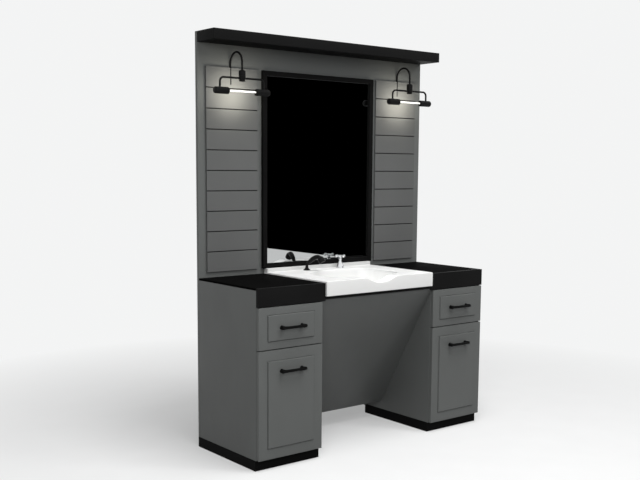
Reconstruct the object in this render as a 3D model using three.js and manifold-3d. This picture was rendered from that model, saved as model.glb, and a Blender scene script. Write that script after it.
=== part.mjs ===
// Salon wash and styling station: two storage pedestals, a basin with a neck dip between them,
// and a tall back panel with a framed mirror, grooved boards, a canopy and two tube lamps.
// Millimetres, +Z up, the client faces +Y and the rear face of the back panel is the wall side.

import * as THREE from 'three';
import { ConvexGeometry } from 'three/addons/geometries/ConvexGeometry.js';
import { mergeVertices } from 'three/addons/utils/BufferGeometryUtils.js';
import Module from 'manifold-3d';

const wasm = await Module();
wasm.setup();

// Overall sizes
const STATION_WIDTH = 1520;
const STATION_HEIGHT = 2092;
const FRONT_DEPTH = 542; // wall to the flat face of the drawer fronts
const COUNTER_HEIGHT = 876;
const PEDESTAL_WIDTH = 382;

// Boards and the gap left at every seated face
const FIT = 0.3;
const BOARD = 18;
const PANEL_BOARD = 18;
const FRONT_BOARD = 18;

// Plinth
const TOE_HEIGHT = 52;
const TOE_SETBACK = 27;
const PLINTH_BOARD = 18;

// Counter
const COUNTER_THICKNESS = 10;
const COUNTER_OVERHANG = 17; // past the inner gable, over the knee space
const APRON_HEIGHT = 88;
const RAIL_HEIGHT = 15;
const RAIL_DEPTH = 34;
const RAIL_LIFT = 7; // underside of the front rail above the underside of the aprons
const REAR_RAIL_HEIGHT = 72;
const REAR_RAIL_THICKNESS = 20;

// Drawer and hamper fronts
const REVEAL = 1;
const FRONT_GAP = 3;
const DRAWER_FRONT_HEIGHT = 202;
const FIELD_RISE = 5;
const FIELD_BEVEL = 7;
const FIELD_SIDE = 50;
const DRAWER_FIELD_EDGE = 36;
const HAMPER_FIELD_EDGE = 50;

// Pulls
const PULL_LENGTH = 157;
const PULL_SPACING = 122;
const PULL_PROJECTION = 22; // field face to the bar's axis at its ends
const PULL_BOW = 4.6;
const PULL_BAR_RADIUS = 5;
const PULL_END_RADIUS = 8.4;
const PULL_POST_RADIUS = 6;
const HAMPER_PULL_DROP = 104; // below the hamper front's top edge

// Drawers and their runners
const DRAWER_WALL = 12;
const DRAWER_FLOOR = 9;
const DRAWER_HEIGHT = 130;
const DRAWER_BACK_GAP = 66;
const DRAWER_RAISE = 20; // box underside above the drawer front's lower edge
const RUNNER_SPACE = 13;
const RUNNER_SHEET = 2;
const RUNNER_HEIGHT = 32;
const RUNNER_LEDGE = 11; // reach under the drawer side
const RUNNER_INSET = 4;

// Tilting hampers
const PIVOT_RADIUS = 4;
const PIVOT_CLEARANCE = 0.2;
const PIVOT_SEAT = 8; // length of the rod inside each gable
const PIVOT_RAISE = 10; // rod axis above the plinth
const PIVOT_SETBACK = 5; // rod axis behind the gables' front edges
const BIN_WALL = 6;
const BIN_SIDE_GAP = 6;
const BIN_TAB = 7;
const BIN_FLOOR_RAISE = 14; // bin underside above the rod axis
const BIN_FOOT_DEPTH = 170;
const BIN_TOP_DEPTH = 215;
const BIN_FRONT_DROP = 50; // bin rim below the hamper front's top edge
const BIN_REAR_DROP = 70; // rear rim below the front rim
const BOTTOM_SETBACK = 20;

// Knee space
const KNEE_BOARD = 16;
const KNEE_TOP_SETBACK = 7; // behind the drawer fronts
const KNEE_FOOT_DEPTH = 143; // wall to the panel's lower front edge
const KNEE_FOOT_HEIGHT = 99;
const SERVICE_HEIGHT = 300; // cut-out in the back panel behind the knee space

// Basin
const BASIN_PROJECTION = 11; // in front of the drawer fronts
const BASIN_RIM_LIFT = 8; // above the counter
const BASIN_DECK = 22;
const NECK_DECK = 71; // front face to the bowl
const REAR_DECK = 120; // back panel to the bowl
const BOWL_WIDTH = 470;
const BOWL_DEPTH = 140;
const BOWL_WALL = 10;
const BOWL_DRAFT = 12; // lean of each wall from the rim to the cove
const BOWL_COVE = 11; // height of the cove at the floor
const DIP_DEPTH = 28;
const DIP_WIDTH = 244;
const UPSTAND_HEIGHT = 20;
const UPSTAND_THICKNESS = 32;

// Waste
const DRAIN_RADIUS = 19;
const DRAIN_BORE = 14;
const DRAIN_FLANGE_RADIUS = 34;
const DRAIN_FLANGE = 3;
const DRAIN_LENGTH = 45;
const WASTE_RADIUS = 16;
const TAIL_LENGTH = 140; // straight pipe above the trap
const TRAP_BEND = 45;
const WASTE_CLEARANCE = 2;

// Fixtures on the rear deck
const MIXER_X = 112;
const MIXER_SETBACK = 78; // wall to the mixer's axis
const MIXER_BASE_RADIUS = 19;
const MIXER_NECK_RADIUS = 9;
const MIXER_HEIGHT = 50;
const HANDLE_HEIGHT = 20;
const HANDLE_ARM = 28;
const HANDLE_ARM_RADIUS = 5;
const HANDLE_HUB_RADIUS = 10;
const SPINDLE_RADIUS = 4;
const SPRAYER_X = -124;
const SPRAYER_SETBACK = 82; // wall to the holder's axis
const SPRAYER_TURN = (17.5 * Math.PI) / 180; // head turned from the front towards the bowl's middle
const HOLDER_BASE_RADIUS = 19;
const HOLDER_NECK_RADIUS = 12;
const HOLDER_HEIGHT = 26;
const SPRAYER_TAIL_RADIUS = 7;
const SPRAYER_NECK_RADIUS = 9;
const SPRAYER_HEAD_RADIUS = 19;
const SPRAYER_HEAD_LENGTH = 34;
const SPRAYER_REACH = 93;
const SPRAYER_RISE = 62;
const SOCKET_CLEARANCE = 0.4;

// Canopy, mirror and grooved boards
const CANOPY_HEIGHT = 52;
const CANOPY_DEPTH = 155;
const HEADER = 112; // canopy underside to the top of the mirror
const MIRROR_WIDTH = 756;
const FRAME_WIDTH = 25;
const FRAME_DEPTH = 19;
const GLASS_THICKNESS = 9;
const BOARD_COUNT = 10;
const BOARD_THICKNESS = 9;
const BOARD_SIDE_MARGIN = 45; // panel side to the boards
const BOARD_MIRROR_GAP = 29;
const GROOVE_WIDTH = 5;
const GROOVE_DEPTH = 6;

// Lamps
const LAMP_INSET = 190; // station side to the lamp's centre
const LAMP_REACH = 130; // wall to the lamp head's axis
const LAMP_TUBE_RADIUS = 5;
const LAMP_ARCH_RISE = 73; // top of the arch's axis above the mirror
const LAMP_STEM_LET_IN = 83; // stem length let into the top board
const LAMP_SOCKET_DROP = 91; // arch top to socket top
const SOCKET_HEIGHT = 29;
const SOCKET_RADIUS = 17;
const HUB_HEIGHT = 27;
const HUB_COLLAR = 9;
const HUB_COLLAR_RADIUS = 15;
const SPIGOT_RADIUS = 6;
const SPIGOT_LENGTH = 14;
const YOKE_RADIUS = 5;
const YOKE_HALF_SPAN = 130;
const YOKE_CORNER = 22;
const YOKE_BAR_RAISE = 15.5; // bar axis above the hub's underside
const YOKE_LEG = 47; // bar axis to the top of the caps
const CAP_LENGTH = 84;
const CAP_OVERRUN = 34; // outer end of a cap past the yoke's leg
const CAP_RADIUS = 17;
const GLOW_RADIUS = 5;
const GLOW_SEAT = 10;

// Sides and steps of round pieces
const FINE = 24;
const ROUND = 16;
const SMALL_ROUND = 12;
const TUBE_SIDES = 10;

// Derived planes and half widths
const HALF = STATION_WIDTH / 2;
const PEDESTAL_HALF = PEDESTAL_WIDTH / 2;
const PEDESTAL_X = HALF - PEDESTAL_HALF;
const INNER_HALF = PEDESTAL_HALF - BOARD;
const KNEE_HALF = HALF - PEDESTAL_WIDTH;
const BASIN_HALF = KNEE_HALF - COUNTER_OVERHANG;
const FRONT = -FRONT_DEPTH;
const CARCASS_FRONT = FRONT + FRONT_BOARD;
const PANEL_FACE = -PANEL_BOARD - FIT; // where pieces seat on the back panel
const FIELD_FACE = FRONT - FIELD_RISE;
const PULL_FACE = FIELD_FACE - FIT;
const TOTAL_DEPTH = FRONT_DEPTH + FIELD_RISE + FIT + PULL_PROJECTION + PULL_BOW + PULL_BAR_RADIUS;
const CARCASS_BOTTOM = TOE_HEIGHT + FIT;
const GABLE_TOP = COUNTER_HEIGHT - COUNTER_THICKNESS;
const APRON_BOTTOM = COUNTER_HEIGHT - APRON_HEIGHT;
const DRAWER_TOP = APRON_BOTTOM - FRONT_GAP;
const DRAWER_BOTTOM = DRAWER_TOP - DRAWER_FRONT_HEIGHT;
const HAMPER_TOP = DRAWER_BOTTOM - FRONT_GAP;
const HAMPER_BOTTOM = TOE_HEIGHT + REVEAL;
const RAIL_BOTTOM = APRON_BOTTOM + RAIL_LIFT;
const RAIL_TOP = RAIL_BOTTOM + RAIL_HEIGHT;
const PIVOT_Y = CARCASS_FRONT + PIVOT_SETBACK;
const PIVOT_Z = TOE_HEIGHT + PIVOT_RAISE;
const RIM = COUNTER_HEIGHT + BASIN_RIM_LIFT;
const BASIN_FRONT = FRONT - BASIN_PROJECTION;
const BOWL_FRONT = BASIN_FRONT + NECK_DECK;
const BOWL_BACK = PANEL_FACE - REAR_DECK;
const BOWL_Y = (BOWL_FRONT + BOWL_BACK) / 2;
const BOWL_FLOOR = RIM - BOWL_DEPTH;
const MIRROR_BOTTOM = RIM + UPSTAND_HEIGHT + FIT;
const CANOPY_BOTTOM = STATION_HEIGHT - CANOPY_HEIGHT;
const MIRROR_TOP = CANOPY_BOTTOM - HEADER;
const MIRROR_HALF = MIRROR_WIDTH / 2;
const LAMP_X = HALF - LAMP_INSET;

// Finishes
const finish = (color, roughness, metalness = 0) => ({ color, roughness, metalness });
const GREY_PAINT = finish(0x5f6160, 0.55);
const BLACK_PAINT = finish(0x1c1c1c, 0.5);
const BLACK_METAL = finish(0x151515, 0.45, 0.6);
const WHITE_SOLID = finish(0xf4f4f2, 0.25);
const RAW_BOARD = finish(0xcfc4ae, 0.7);
const STEEL = finish(0xb8bcc0, 0.35, 1);
const CHROME = finish(0xdfe2e5, 0.08, 1);
const MIRROR_SILVER = finish(0xe8ecec, 0.02, 1);
const BLACK_PLASTIC = finish(0x121212, 0.4);
const LAMP_GLOW = finish(0xfff6e0, 0.3);

// Solid joins and cuts

/** A closed manifold solid from a three.js geometry. */
function solidOf(geometry) {
  const bare = geometry.clone();
  bare.deleteAttribute('normal');
  bare.deleteAttribute('uv');
  const merged = mergeVertices(bare);
  return new wasm.Manifold(new wasm.Mesh({
    numProp: 3,
    vertProperties: Float32Array.from(merged.attributes.position.array),
    triVerts: Uint32Array.from(merged.index.array),
  }));
}

/** A three.js geometry from a manifold solid. */
function geometryOf(solid) {
  const mesh = solid.getMesh();
  const geometry = new THREE.BufferGeometry();
  geometry.setAttribute('position', new THREE.Float32BufferAttribute(mesh.vertProperties, 3));
  geometry.setIndex(new THREE.Uint32BufferAttribute(mesh.triVerts, 1));
  return geometry;
}

const join = (...pieces) => geometryOf(pieces.map(solidOf).reduce((sum, piece) => sum.add(piece)));
const cut = (base, ...tools) => geometryOf(
  tools.map(solidOf).reduce((rest, tool) => rest.subtract(tool), solidOf(base)),
);

// Basic forms

/** Block between three ranges, each given low to high or high to low. */
function block([x0, x1], [y0, y1], [z0, z1]) {
  const geometry = new THREE.BoxGeometry(Math.abs(x1 - x0), Math.abs(y1 - y0), Math.abs(z1 - z0));
  return geometry.translate((x0 + x1) / 2, (y0 + y1) / 2, (z0 + z1) / 2);
}

const outline = (points) => new THREE.Shape(points.map(([a, b]) => new THREE.Vector2(a, b)));

/** An outline of (y, z) points carried along X from x0 to x1. */
function alongX(points, x0, x1) {
  const geometry = new THREE.ExtrudeGeometry(outline(points), { depth: x1 - x0, bevelEnabled: false });
  const turn = new THREE.Matrix4().set(0, 0, 1, x0, 1, 0, 0, 0, 0, 1, 0, 0, 0, 0, 0, 1);
  return geometry.applyMatrix4(turn);
}

/** An outline of (x, z) points carried along Y from front to back. */
function alongY(points, front, back) {
  const geometry = new THREE.ExtrudeGeometry(outline(points), { depth: back - front, bevelEnabled: false });
  return geometry.rotateX(Math.PI / 2).translate(0, back, 0);
}

/** An outline of (x, y) points carried along Z from bottom to top. */
function alongZ(points, bottom, top) {
  const geometry = new THREE.ExtrudeGeometry(outline(points), { depth: top - bottom, bevelEnabled: false });
  return geometry.translate(0, 0, bottom);
}

/** A profile of (radius, height) points turned about the Z axis. */
function turned(profile, sides = FINE) {
  const points = profile.map(([radius, height]) => new THREE.Vector2(radius, height));
  return new THREE.LatheGeometry(points, sides).rotateX(Math.PI / 2);
}

/** A profile of (radius, x) points turned about the X axis. */
const turnedAcross = (profile, sides = FINE) => turned(profile, sides).rotateY(Math.PI / 2);

const rod = (radius, length, sides = ROUND) => new THREE.CylinderGeometry(radius, radius, length, sides);
const rodX = (radius, length, sides) => rod(radius, length, sides).rotateZ(Math.PI / 2);
const rodZ = (radius, length, sides) => rod(radius, length, sides).rotateX(Math.PI / 2);

/** Points of a regular polygon that stands for a circle. */
function circle(radius, sides) {
  return Array.from({ length: sides }, (_, i) => {
    const angle = (2 * Math.PI * i) / sides;
    return [radius * Math.cos(angle), radius * Math.sin(angle)];
  });
}

/** A round bar along a curve, with closed ends. */
function bar(radius, path, steps, sides = TUBE_SIDES) {
  return new THREE.ExtrudeGeometry(outline(circle(radius, sides)), {
    extrudePath: path, steps, bevelEnabled: false,
  });
}

const at = (x, y, z) => new THREE.Vector3(x, y, z);
const line = (from, to) => new THREE.LineCurve3(from, to);

/** A quarter bend from one point to another around the corner where their directions meet. */
function bend(from, corner, to) {
  const QUARTER = 0.5523; // control length of a cubic that follows a quarter circle
  return new THREE.CubicBezierCurve3(
    from, from.clone().lerp(corner, QUARTER), to.clone().lerp(corner, QUARTER), to,
  );
}

/** One path made of curves laid end to end. */
function route(...curves) {
  const path = new THREE.CurvePath();
  curves.forEach((curve) => path.add(curve));
  return path;
}

// Scene graph helpers

function piece(name, geometry, look, parent) {
  const mesh = new THREE.Mesh(geometry, new THREE.MeshStandardMaterial(look));
  mesh.name = name;
  parent.add(mesh);
}

function groupAt(x, y, z, parent) {
  const group = new THREE.Group();
  group.position.set(x, y, z);
  parent.add(group);
  return group;
}

const station = new THREE.Group();
const assembly = groupAt(0, TOTAL_DEPTH / 2, 0, station);

const SIDES = [['left', -1], ['right', 1]];

// Carcass of one pedestal: gables, bottom board and plinth

function carcass(side, out, parent) {
  const gable = (inner, outer) => block(
    [out * inner, out * outer],
    [CARCASS_FRONT, PANEL_FACE],
    [CARCASS_BOTTOM, GABLE_TOP - FIT],
  );
  const seatDepth = PIVOT_SEAT + FIT;
  const seat = rodX(PIVOT_RADIUS + PIVOT_CLEARANCE, 2 * (INNER_HALF + seatDepth))
    .translate(0, PIVOT_Y, PIVOT_Z);
  piece(`${side}_outer_gable`, cut(gable(INNER_HALF, PEDESTAL_HALF), seat), GREY_PAINT, parent);
  piece(`${side}_inner_gable`, cut(gable(-INNER_HALF, -PEDESTAL_HALF), seat), GREY_PAINT, parent);

  const bottom = block(
    [-INNER_HALF + FIT, INNER_HALF - FIT],
    [CARCASS_FRONT + BOTTOM_SETBACK, PANEL_FACE],
    [CARCASS_BOTTOM, CARCASS_BOTTOM + BOARD],
  );
  piece(`${side}_bottom_board`, bottom, RAW_BOARD, parent);

  const toeFront = FRONT + TOE_SETBACK;
  const hollow = PEDESTAL_HALF - PLINTH_BOARD;
  const plinth = alongZ([
    [-PEDESTAL_HALF, 0], [-PEDESTAL_HALF, toeFront], [PEDESTAL_HALF, toeFront], [PEDESTAL_HALF, 0],
    [hollow, 0], [hollow, toeFront + PLINTH_BOARD], [-hollow, toeFront + PLINTH_BOARD], [-hollow, 0],
  ], 0, TOE_HEIGHT);
  piece(`${side}_plinth`, plinth, BLACK_PAINT, parent);
}

// Raised-field fronts and bow pulls

/** Front board with a bevelled raised field, between two heights. */
function raisedFront(bottom, top, fieldEdge) {
  const half = PEDESTAL_HALF - REVEAL;
  const slab = block([-half, half], [FRONT, CARCASS_FRONT - FIT], [bottom, top]);
  const fieldHalf = PEDESTAL_HALF - FIELD_SIDE;
  const corners = (inset, y) => [-1, 1].flatMap((sx) => [
    at(sx * (fieldHalf - inset), y, bottom + fieldEdge + inset),
    at(sx * (fieldHalf - inset), y, top - fieldEdge - inset),
  ]);
  const field = new ConvexGeometry([
    ...corners(0, FRONT + FIELD_RISE), ...corners(0, FRONT), ...corners(FIELD_BEVEL, FIELD_FACE),
  ]);
  return join(slab, field);
}

/** Bow pull: a bar that thickens to its rounded ends, on two posts, centred on the given height. */
function bowPull(height) {
  const half = PULL_LENGTH / 2;
  const STATIONS = 12;
  const profile = [[0, -half]];
  for (let i = 0; i <= STATIONS; i += 1) {
    const t = (2 * i) / STATIONS - 1;
    const swell = PULL_BAR_RADIUS + (PULL_END_RADIUS - PULL_BAR_RADIUS) * t ** 8;
    const nose = Math.sqrt(1 - t ** 16);
    profile.push([Math.max(swell * nose, PULL_BAR_RADIUS), t * (half - PULL_BAR_RADIUS)]);
  }
  profile.push([0, half]);
  const grip = turnedAcross(profile, SMALL_ROUND);
  const place = grip.attributes.position;
  const axisAt = (x) => -PULL_PROJECTION - PULL_BOW * (1 - (x / half) ** 2);
  for (let i = 0; i < place.count; i += 1) {
    place.setY(i, place.getY(i) + axisAt(place.getX(i)));
  }
  const postLength = -axisAt(PULL_SPACING / 2);
  const post = (x) => rod(PULL_POST_RADIUS, postLength, SMALL_ROUND).translate(x, -postLength / 2, 0);
  return join(grip, post(-PULL_SPACING / 2), post(PULL_SPACING / 2)).translate(0, PULL_FACE, height);
}

// Drawer: front, box, pull and the two runners that carry it

function drawer(side, out, parent) {
  const boxHalf = INNER_HALF - RUNNER_SPACE;
  const boxBottom = DRAWER_BOTTOM + DRAWER_RAISE;
  const boxBack = PANEL_FACE - DRAWER_BACK_GAP;
  const front = raisedFront(DRAWER_BOTTOM, DRAWER_TOP, DRAWER_FIELD_EDGE);
  piece(`${side}_drawer_front`, front, GREY_PAINT, parent);
  piece(`${side}_drawer_pull`, bowPull((DRAWER_BOTTOM + DRAWER_TOP) / 2), BLACK_METAL, parent);

  const shell = block([-boxHalf, boxHalf], [CARCASS_FRONT, boxBack], [boxBottom, boxBottom + DRAWER_HEIGHT]);
  const inside = block(
    [-boxHalf + DRAWER_WALL, boxHalf - DRAWER_WALL],
    [CARCASS_FRONT + DRAWER_WALL, boxBack - DRAWER_WALL],
    [boxBottom + DRAWER_FLOOR, boxBottom + DRAWER_HEIGHT + DRAWER_FLOOR],
  );
  piece(`${side}_drawer_box`, cut(shell, inside), RAW_BOARD, parent);

  const wallX = INNER_HALF - FIT;
  const ledgeTop = boxBottom - FIT;
  const ledgeEnd = INNER_HALF - RUNNER_SPACE - RUNNER_LEDGE;
  const angle = [
    [wallX, ledgeTop - RUNNER_SHEET], [wallX, ledgeTop + RUNNER_HEIGHT],
    [wallX - RUNNER_SHEET, ledgeTop + RUNNER_HEIGHT], [wallX - RUNNER_SHEET, ledgeTop],
    [ledgeEnd, ledgeTop], [ledgeEnd, ledgeTop - RUNNER_SHEET],
  ];
  const runner = (hand) => alongY(
    angle.map(([x, z]) => [hand * x, z]), CARCASS_FRONT + RUNNER_INSET, boxBack - RUNNER_INSET,
  );
  piece(`${side}_drawer_runner_outer`, runner(out), STEEL, parent);
  piece(`${side}_drawer_runner_inner`, runner(-out), STEEL, parent);
}

// Tilting hamper: front, bin, pull and the rod it turns on

function hamper(side, parent) {
  const heel = PIVOT_RAISE + PIVOT_SETBACK / 2; // bevel that lets the lower edge swing clear of the gables
  const rear = CARCASS_FRONT - FIT;
  const bevel = alongX([
    [rear - 2 * heel, HAMPER_BOTTOM - heel], [rear + heel, HAMPER_BOTTOM - heel],
    [rear + heel, HAMPER_BOTTOM + 2 * heel],
  ], -PEDESTAL_WIDTH, PEDESTAL_WIDTH);
  const front = cut(raisedFront(HAMPER_BOTTOM, HAMPER_TOP, HAMPER_FIELD_EDGE), bevel);
  piece(`${side}_hamper_front`, front, GREY_PAINT, parent);
  piece(`${side}_hamper_pull`, bowPull(HAMPER_TOP - HAMPER_PULL_DROP), BLACK_METAL, parent);

  const pivotLength = 2 * (INNER_HALF + PIVOT_SEAT);
  const pivot = rodX(PIVOT_RADIUS, pivotLength).translate(0, PIVOT_Y, PIVOT_Z);
  piece(`${side}_hamper_pivot`, pivot, STEEL, parent);

  const half = INNER_HALF - BIN_SIDE_GAP;
  const floor = PIVOT_Z + BIN_FLOOR_RAISE;
  const rim = HAMPER_TOP - BIN_FRONT_DROP;
  const rearRim = rim - BIN_REAR_DROP;
  const foot = PIVOT_Y + BIN_FOOT_DEPTH;
  const top = PIVOT_Y + BIN_TOP_DEPTH;
  const tabBottom = PIVOT_Z - BIN_TAB;
  const tabBack = PIVOT_Y + BIN_TAB;
  const body = alongX([
    [CARCASS_FRONT, tabBottom], [tabBack, tabBottom], [tabBack, floor], [foot, floor],
    [top, rearRim], [CARCASS_FRONT, rim],
  ], -half, half);
  const lean = (top - foot) / (rearRim - floor); // rearward run of the rear wall per unit of height
  const headroom = rim + BIN_WALL;
  const inside = alongX([
    [CARCASS_FRONT + BIN_WALL, floor + BIN_WALL],
    [foot - BIN_WALL + lean * BIN_WALL, floor + BIN_WALL],
    [foot - BIN_WALL + lean * (headroom - floor), headroom],
    [CARCASS_FRONT + BIN_WALL, headroom],
  ], -half + BIN_WALL, half - BIN_WALL);
  const underFloor = block(
    [-half + BIN_WALL, half - BIN_WALL],
    [CARCASS_FRONT - BIN_WALL, tabBack + BIN_WALL],
    [tabBottom - BIN_WALL, floor],
  );
  const bore = rodX(PIVOT_RADIUS + PIVOT_CLEARANCE, pivotLength).translate(0, PIVOT_Y, PIVOT_Z);
  piece(`${side}_hamper_bin`, cut(body, inside, underFloor, bore), BLACK_PLASTIC, parent);
}

// Counter slab and apron of one side

function counter(side, out, parent) {
  const across = [out * (BASIN_HALF + FIT), out * HALF];
  const slab = block(across, [CARCASS_FRONT, PANEL_FACE], [GABLE_TOP, COUNTER_HEIGHT]);
  const apron = block(across, [FRONT, CARCASS_FRONT - FIT], [APRON_BOTTOM, COUNTER_HEIGHT]);
  piece(`${side}_countertop`, slab, BLACK_PAINT, parent);
  piece(`${side}_apron`, apron, BLACK_PAINT, parent);
}

// Rails that carry the basin, and the sloping panel of the knee space

function kneeSpace(parent) {
  const wide = KNEE_HALF - FIT;
  const tongue = BASIN_HALF - FIT;
  const railBack = FRONT + RAIL_DEPTH;
  const frontRail = alongZ([
    [-tongue, FRONT], [tongue, FRONT], [tongue, CARCASS_FRONT], [wide, CARCASS_FRONT], [wide, railBack],
    [-wide, railBack], [-wide, CARCASS_FRONT], [-tongue, CARCASS_FRONT],
  ], RAIL_BOTTOM, RAIL_TOP);
  piece('sink_front_rail', frontRail, BLACK_PAINT, parent);

  const deckUnderside = RIM - BASIN_DECK - FIT;
  const rearRail = block(
    [-wide, wide],
    [PANEL_FACE - REAR_RAIL_THICKNESS, PANEL_FACE],
    [deckUnderside - REAR_RAIL_HEIGHT, deckUnderside],
  );
  piece('sink_rear_rail', rearRail, RAW_BOARD, parent);

  const head = [FRONT + KNEE_TOP_SETBACK, RAIL_BOTTOM - FIT];
  const foot = [-KNEE_FOOT_DEPTH, KNEE_FOOT_HEIGHT];
  const run = foot[0] - head[0];
  const drop = head[1] - foot[1];
  const slope = Math.hypot(run, drop);
  const levelThickness = (KNEE_BOARD * slope) / drop; // thickness measured along Y
  const panel = alongX([
    head, foot, [foot[0] + (KNEE_BOARD * drop) / slope, foot[1] + (KNEE_BOARD * run) / slope],
    [head[0] + levelThickness, head[1]],
  ], -wide, wide);
  const notch = (out) => block(
    [out * tongue, out * KNEE_HALF], [FRONT, 0], [APRON_BOTTOM - FIT, RIM],
  );
  piece('knee_panel', cut(panel, notch(-1), notch(1)), GREY_PAINT, parent);
}

// Basin deck with its neck dip and rear upstand, and the bowl bonded under it

/** Bowl-shaped solid: rounded rings with drafted walls and a coved floor, grown outwards by a wall. */
function bowlForm(wall, top) {
  const RING = 16;
  const SQUARENESS = 0.55; // 1 is an ellipse, less is nearer a rectangle
  const halfX = BOWL_WIDTH / 2 + wall;
  const halfY = (BOWL_BACK - BOWL_FRONT) / 2 + wall;
  const round = (value) => Math.sign(value) * Math.abs(value) ** SQUARENESS;
  const ringAt = (inset, z) => circle(1, RING).map(
    ([c, s]) => at((halfX - inset) * round(c), BOWL_Y + (halfY - inset) * round(s), z),
  );
  const low = BOWL_FLOOR - wall;
  return new ConvexGeometry([
    ...ringAt(0, top), ...ringAt(0, RIM), ...ringAt(BOWL_DRAFT, low + BOWL_COVE),
    ...ringAt(BOWL_DRAFT + 2 * BOWL_COVE, low),
  ]);
}

/** Smooth neck dip in the front rim, open at the top and carried back into the bowl. */
function neckDip() {
  const STEPS = 14;
  const half = DIP_WIDTH / 2;
  const edge = Array.from({ length: STEPS + 1 }, (_, i) => {
    const t = (2 * i) / STEPS - 1;
    const depth = DIP_DEPTH * (0.5 + 0.5 * Math.cos(Math.PI * t * Math.abs(t) ** 0.3));
    return [t * half, RIM - depth];
  });
  const points = [...edge, [half, RIM + DIP_DEPTH], [-half, RIM + DIP_DEPTH]];
  return alongY(points, BASIN_FRONT - DIP_DEPTH, BOWL_FRONT + DIP_DEPTH);
}

function basin(parent) {
  const across = [-BASIN_HALF, BASIN_HALF];
  const deckUnderside = RIM - BASIN_DECK;
  const bowlFace = BOWL_FRONT - BOWL_WALL - FIT;
  const deck = block(across, [BASIN_FRONT, PANEL_FACE], [deckUnderside, RIM]);
  const beam = block(across, [BASIN_FRONT, bowlFace], [RAIL_TOP + FIT, RIM]);
  const upstand = block(
    across, [PANEL_FACE - UPSTAND_THICKNESS, PANEL_FACE], [deckUnderside, RIM + UPSTAND_HEIGHT],
  );
  const inside = bowlForm(0, RIM + UPSTAND_HEIGHT);
  const dip = neckDip();
  piece('basin', cut(join(deck, beam, upstand), inside, dip), WHITE_SOLID, parent);

  const shell = bowlForm(BOWL_WALL, RIM);
  const overhead = block(across, [BASIN_FRONT, 0], [deckUnderside - FIT, RIM + BASIN_DECK]);
  const drain = rodZ(DRAIN_RADIUS + FIT, 4 * BOWL_WALL, FINE).translate(0, BOWL_Y, BOWL_FLOOR);
  piece('basin_bowl', cut(shell, inside, overhead, dip, drain), WHITE_SOLID, parent);
}

// Waste: strainer, and the pipe with its trap

function waste(parent) {
  const group = groupAt(0, BOWL_Y, 0, parent);
  const seat = BOWL_FLOOR + FIT;
  const strainerEnd = BOWL_FLOOR - DRAIN_LENGTH;
  const strainer = turned([
    [DRAIN_BORE, seat + DRAIN_FLANGE], [DRAIN_FLANGE_RADIUS, seat + DRAIN_FLANGE],
    [DRAIN_FLANGE_RADIUS, seat], [DRAIN_RADIUS, seat],
    [DRAIN_RADIUS, strainerEnd], [DRAIN_BORE, strainerEnd],
    [DRAIN_BORE, seat + DRAIN_FLANGE],
  ].reverse());
  piece('drain_strainer', strainer, CHROME, group);

  const inlet = strainerEnd - FIT;
  const low = inlet - TAIL_LENGTH;
  const far = 2 * TRAP_BEND;
  const outletZ = low + TRAP_BEND;
  const trap = bar(WASTE_RADIUS, route(
    line(at(0, 0, inlet), at(0, 0, low)),
    bend(at(0, 0, low), at(0, 0, low - TRAP_BEND), at(0, TRAP_BEND, low - TRAP_BEND)),
    bend(at(0, TRAP_BEND, low - TRAP_BEND), at(0, far, low - TRAP_BEND), at(0, far, low)),
    bend(at(0, far, low), at(0, far, outletZ), at(0, far + TRAP_BEND, outletZ)),
    line(at(0, far + TRAP_BEND, outletZ), at(0, -BOWL_Y, outletZ)),
  ), 36);
  piece('waste_trap', trap, CHROME, group);
  return outletZ;
}

// Mixer, sprayer holder and hand sprayer on the rear deck

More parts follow.
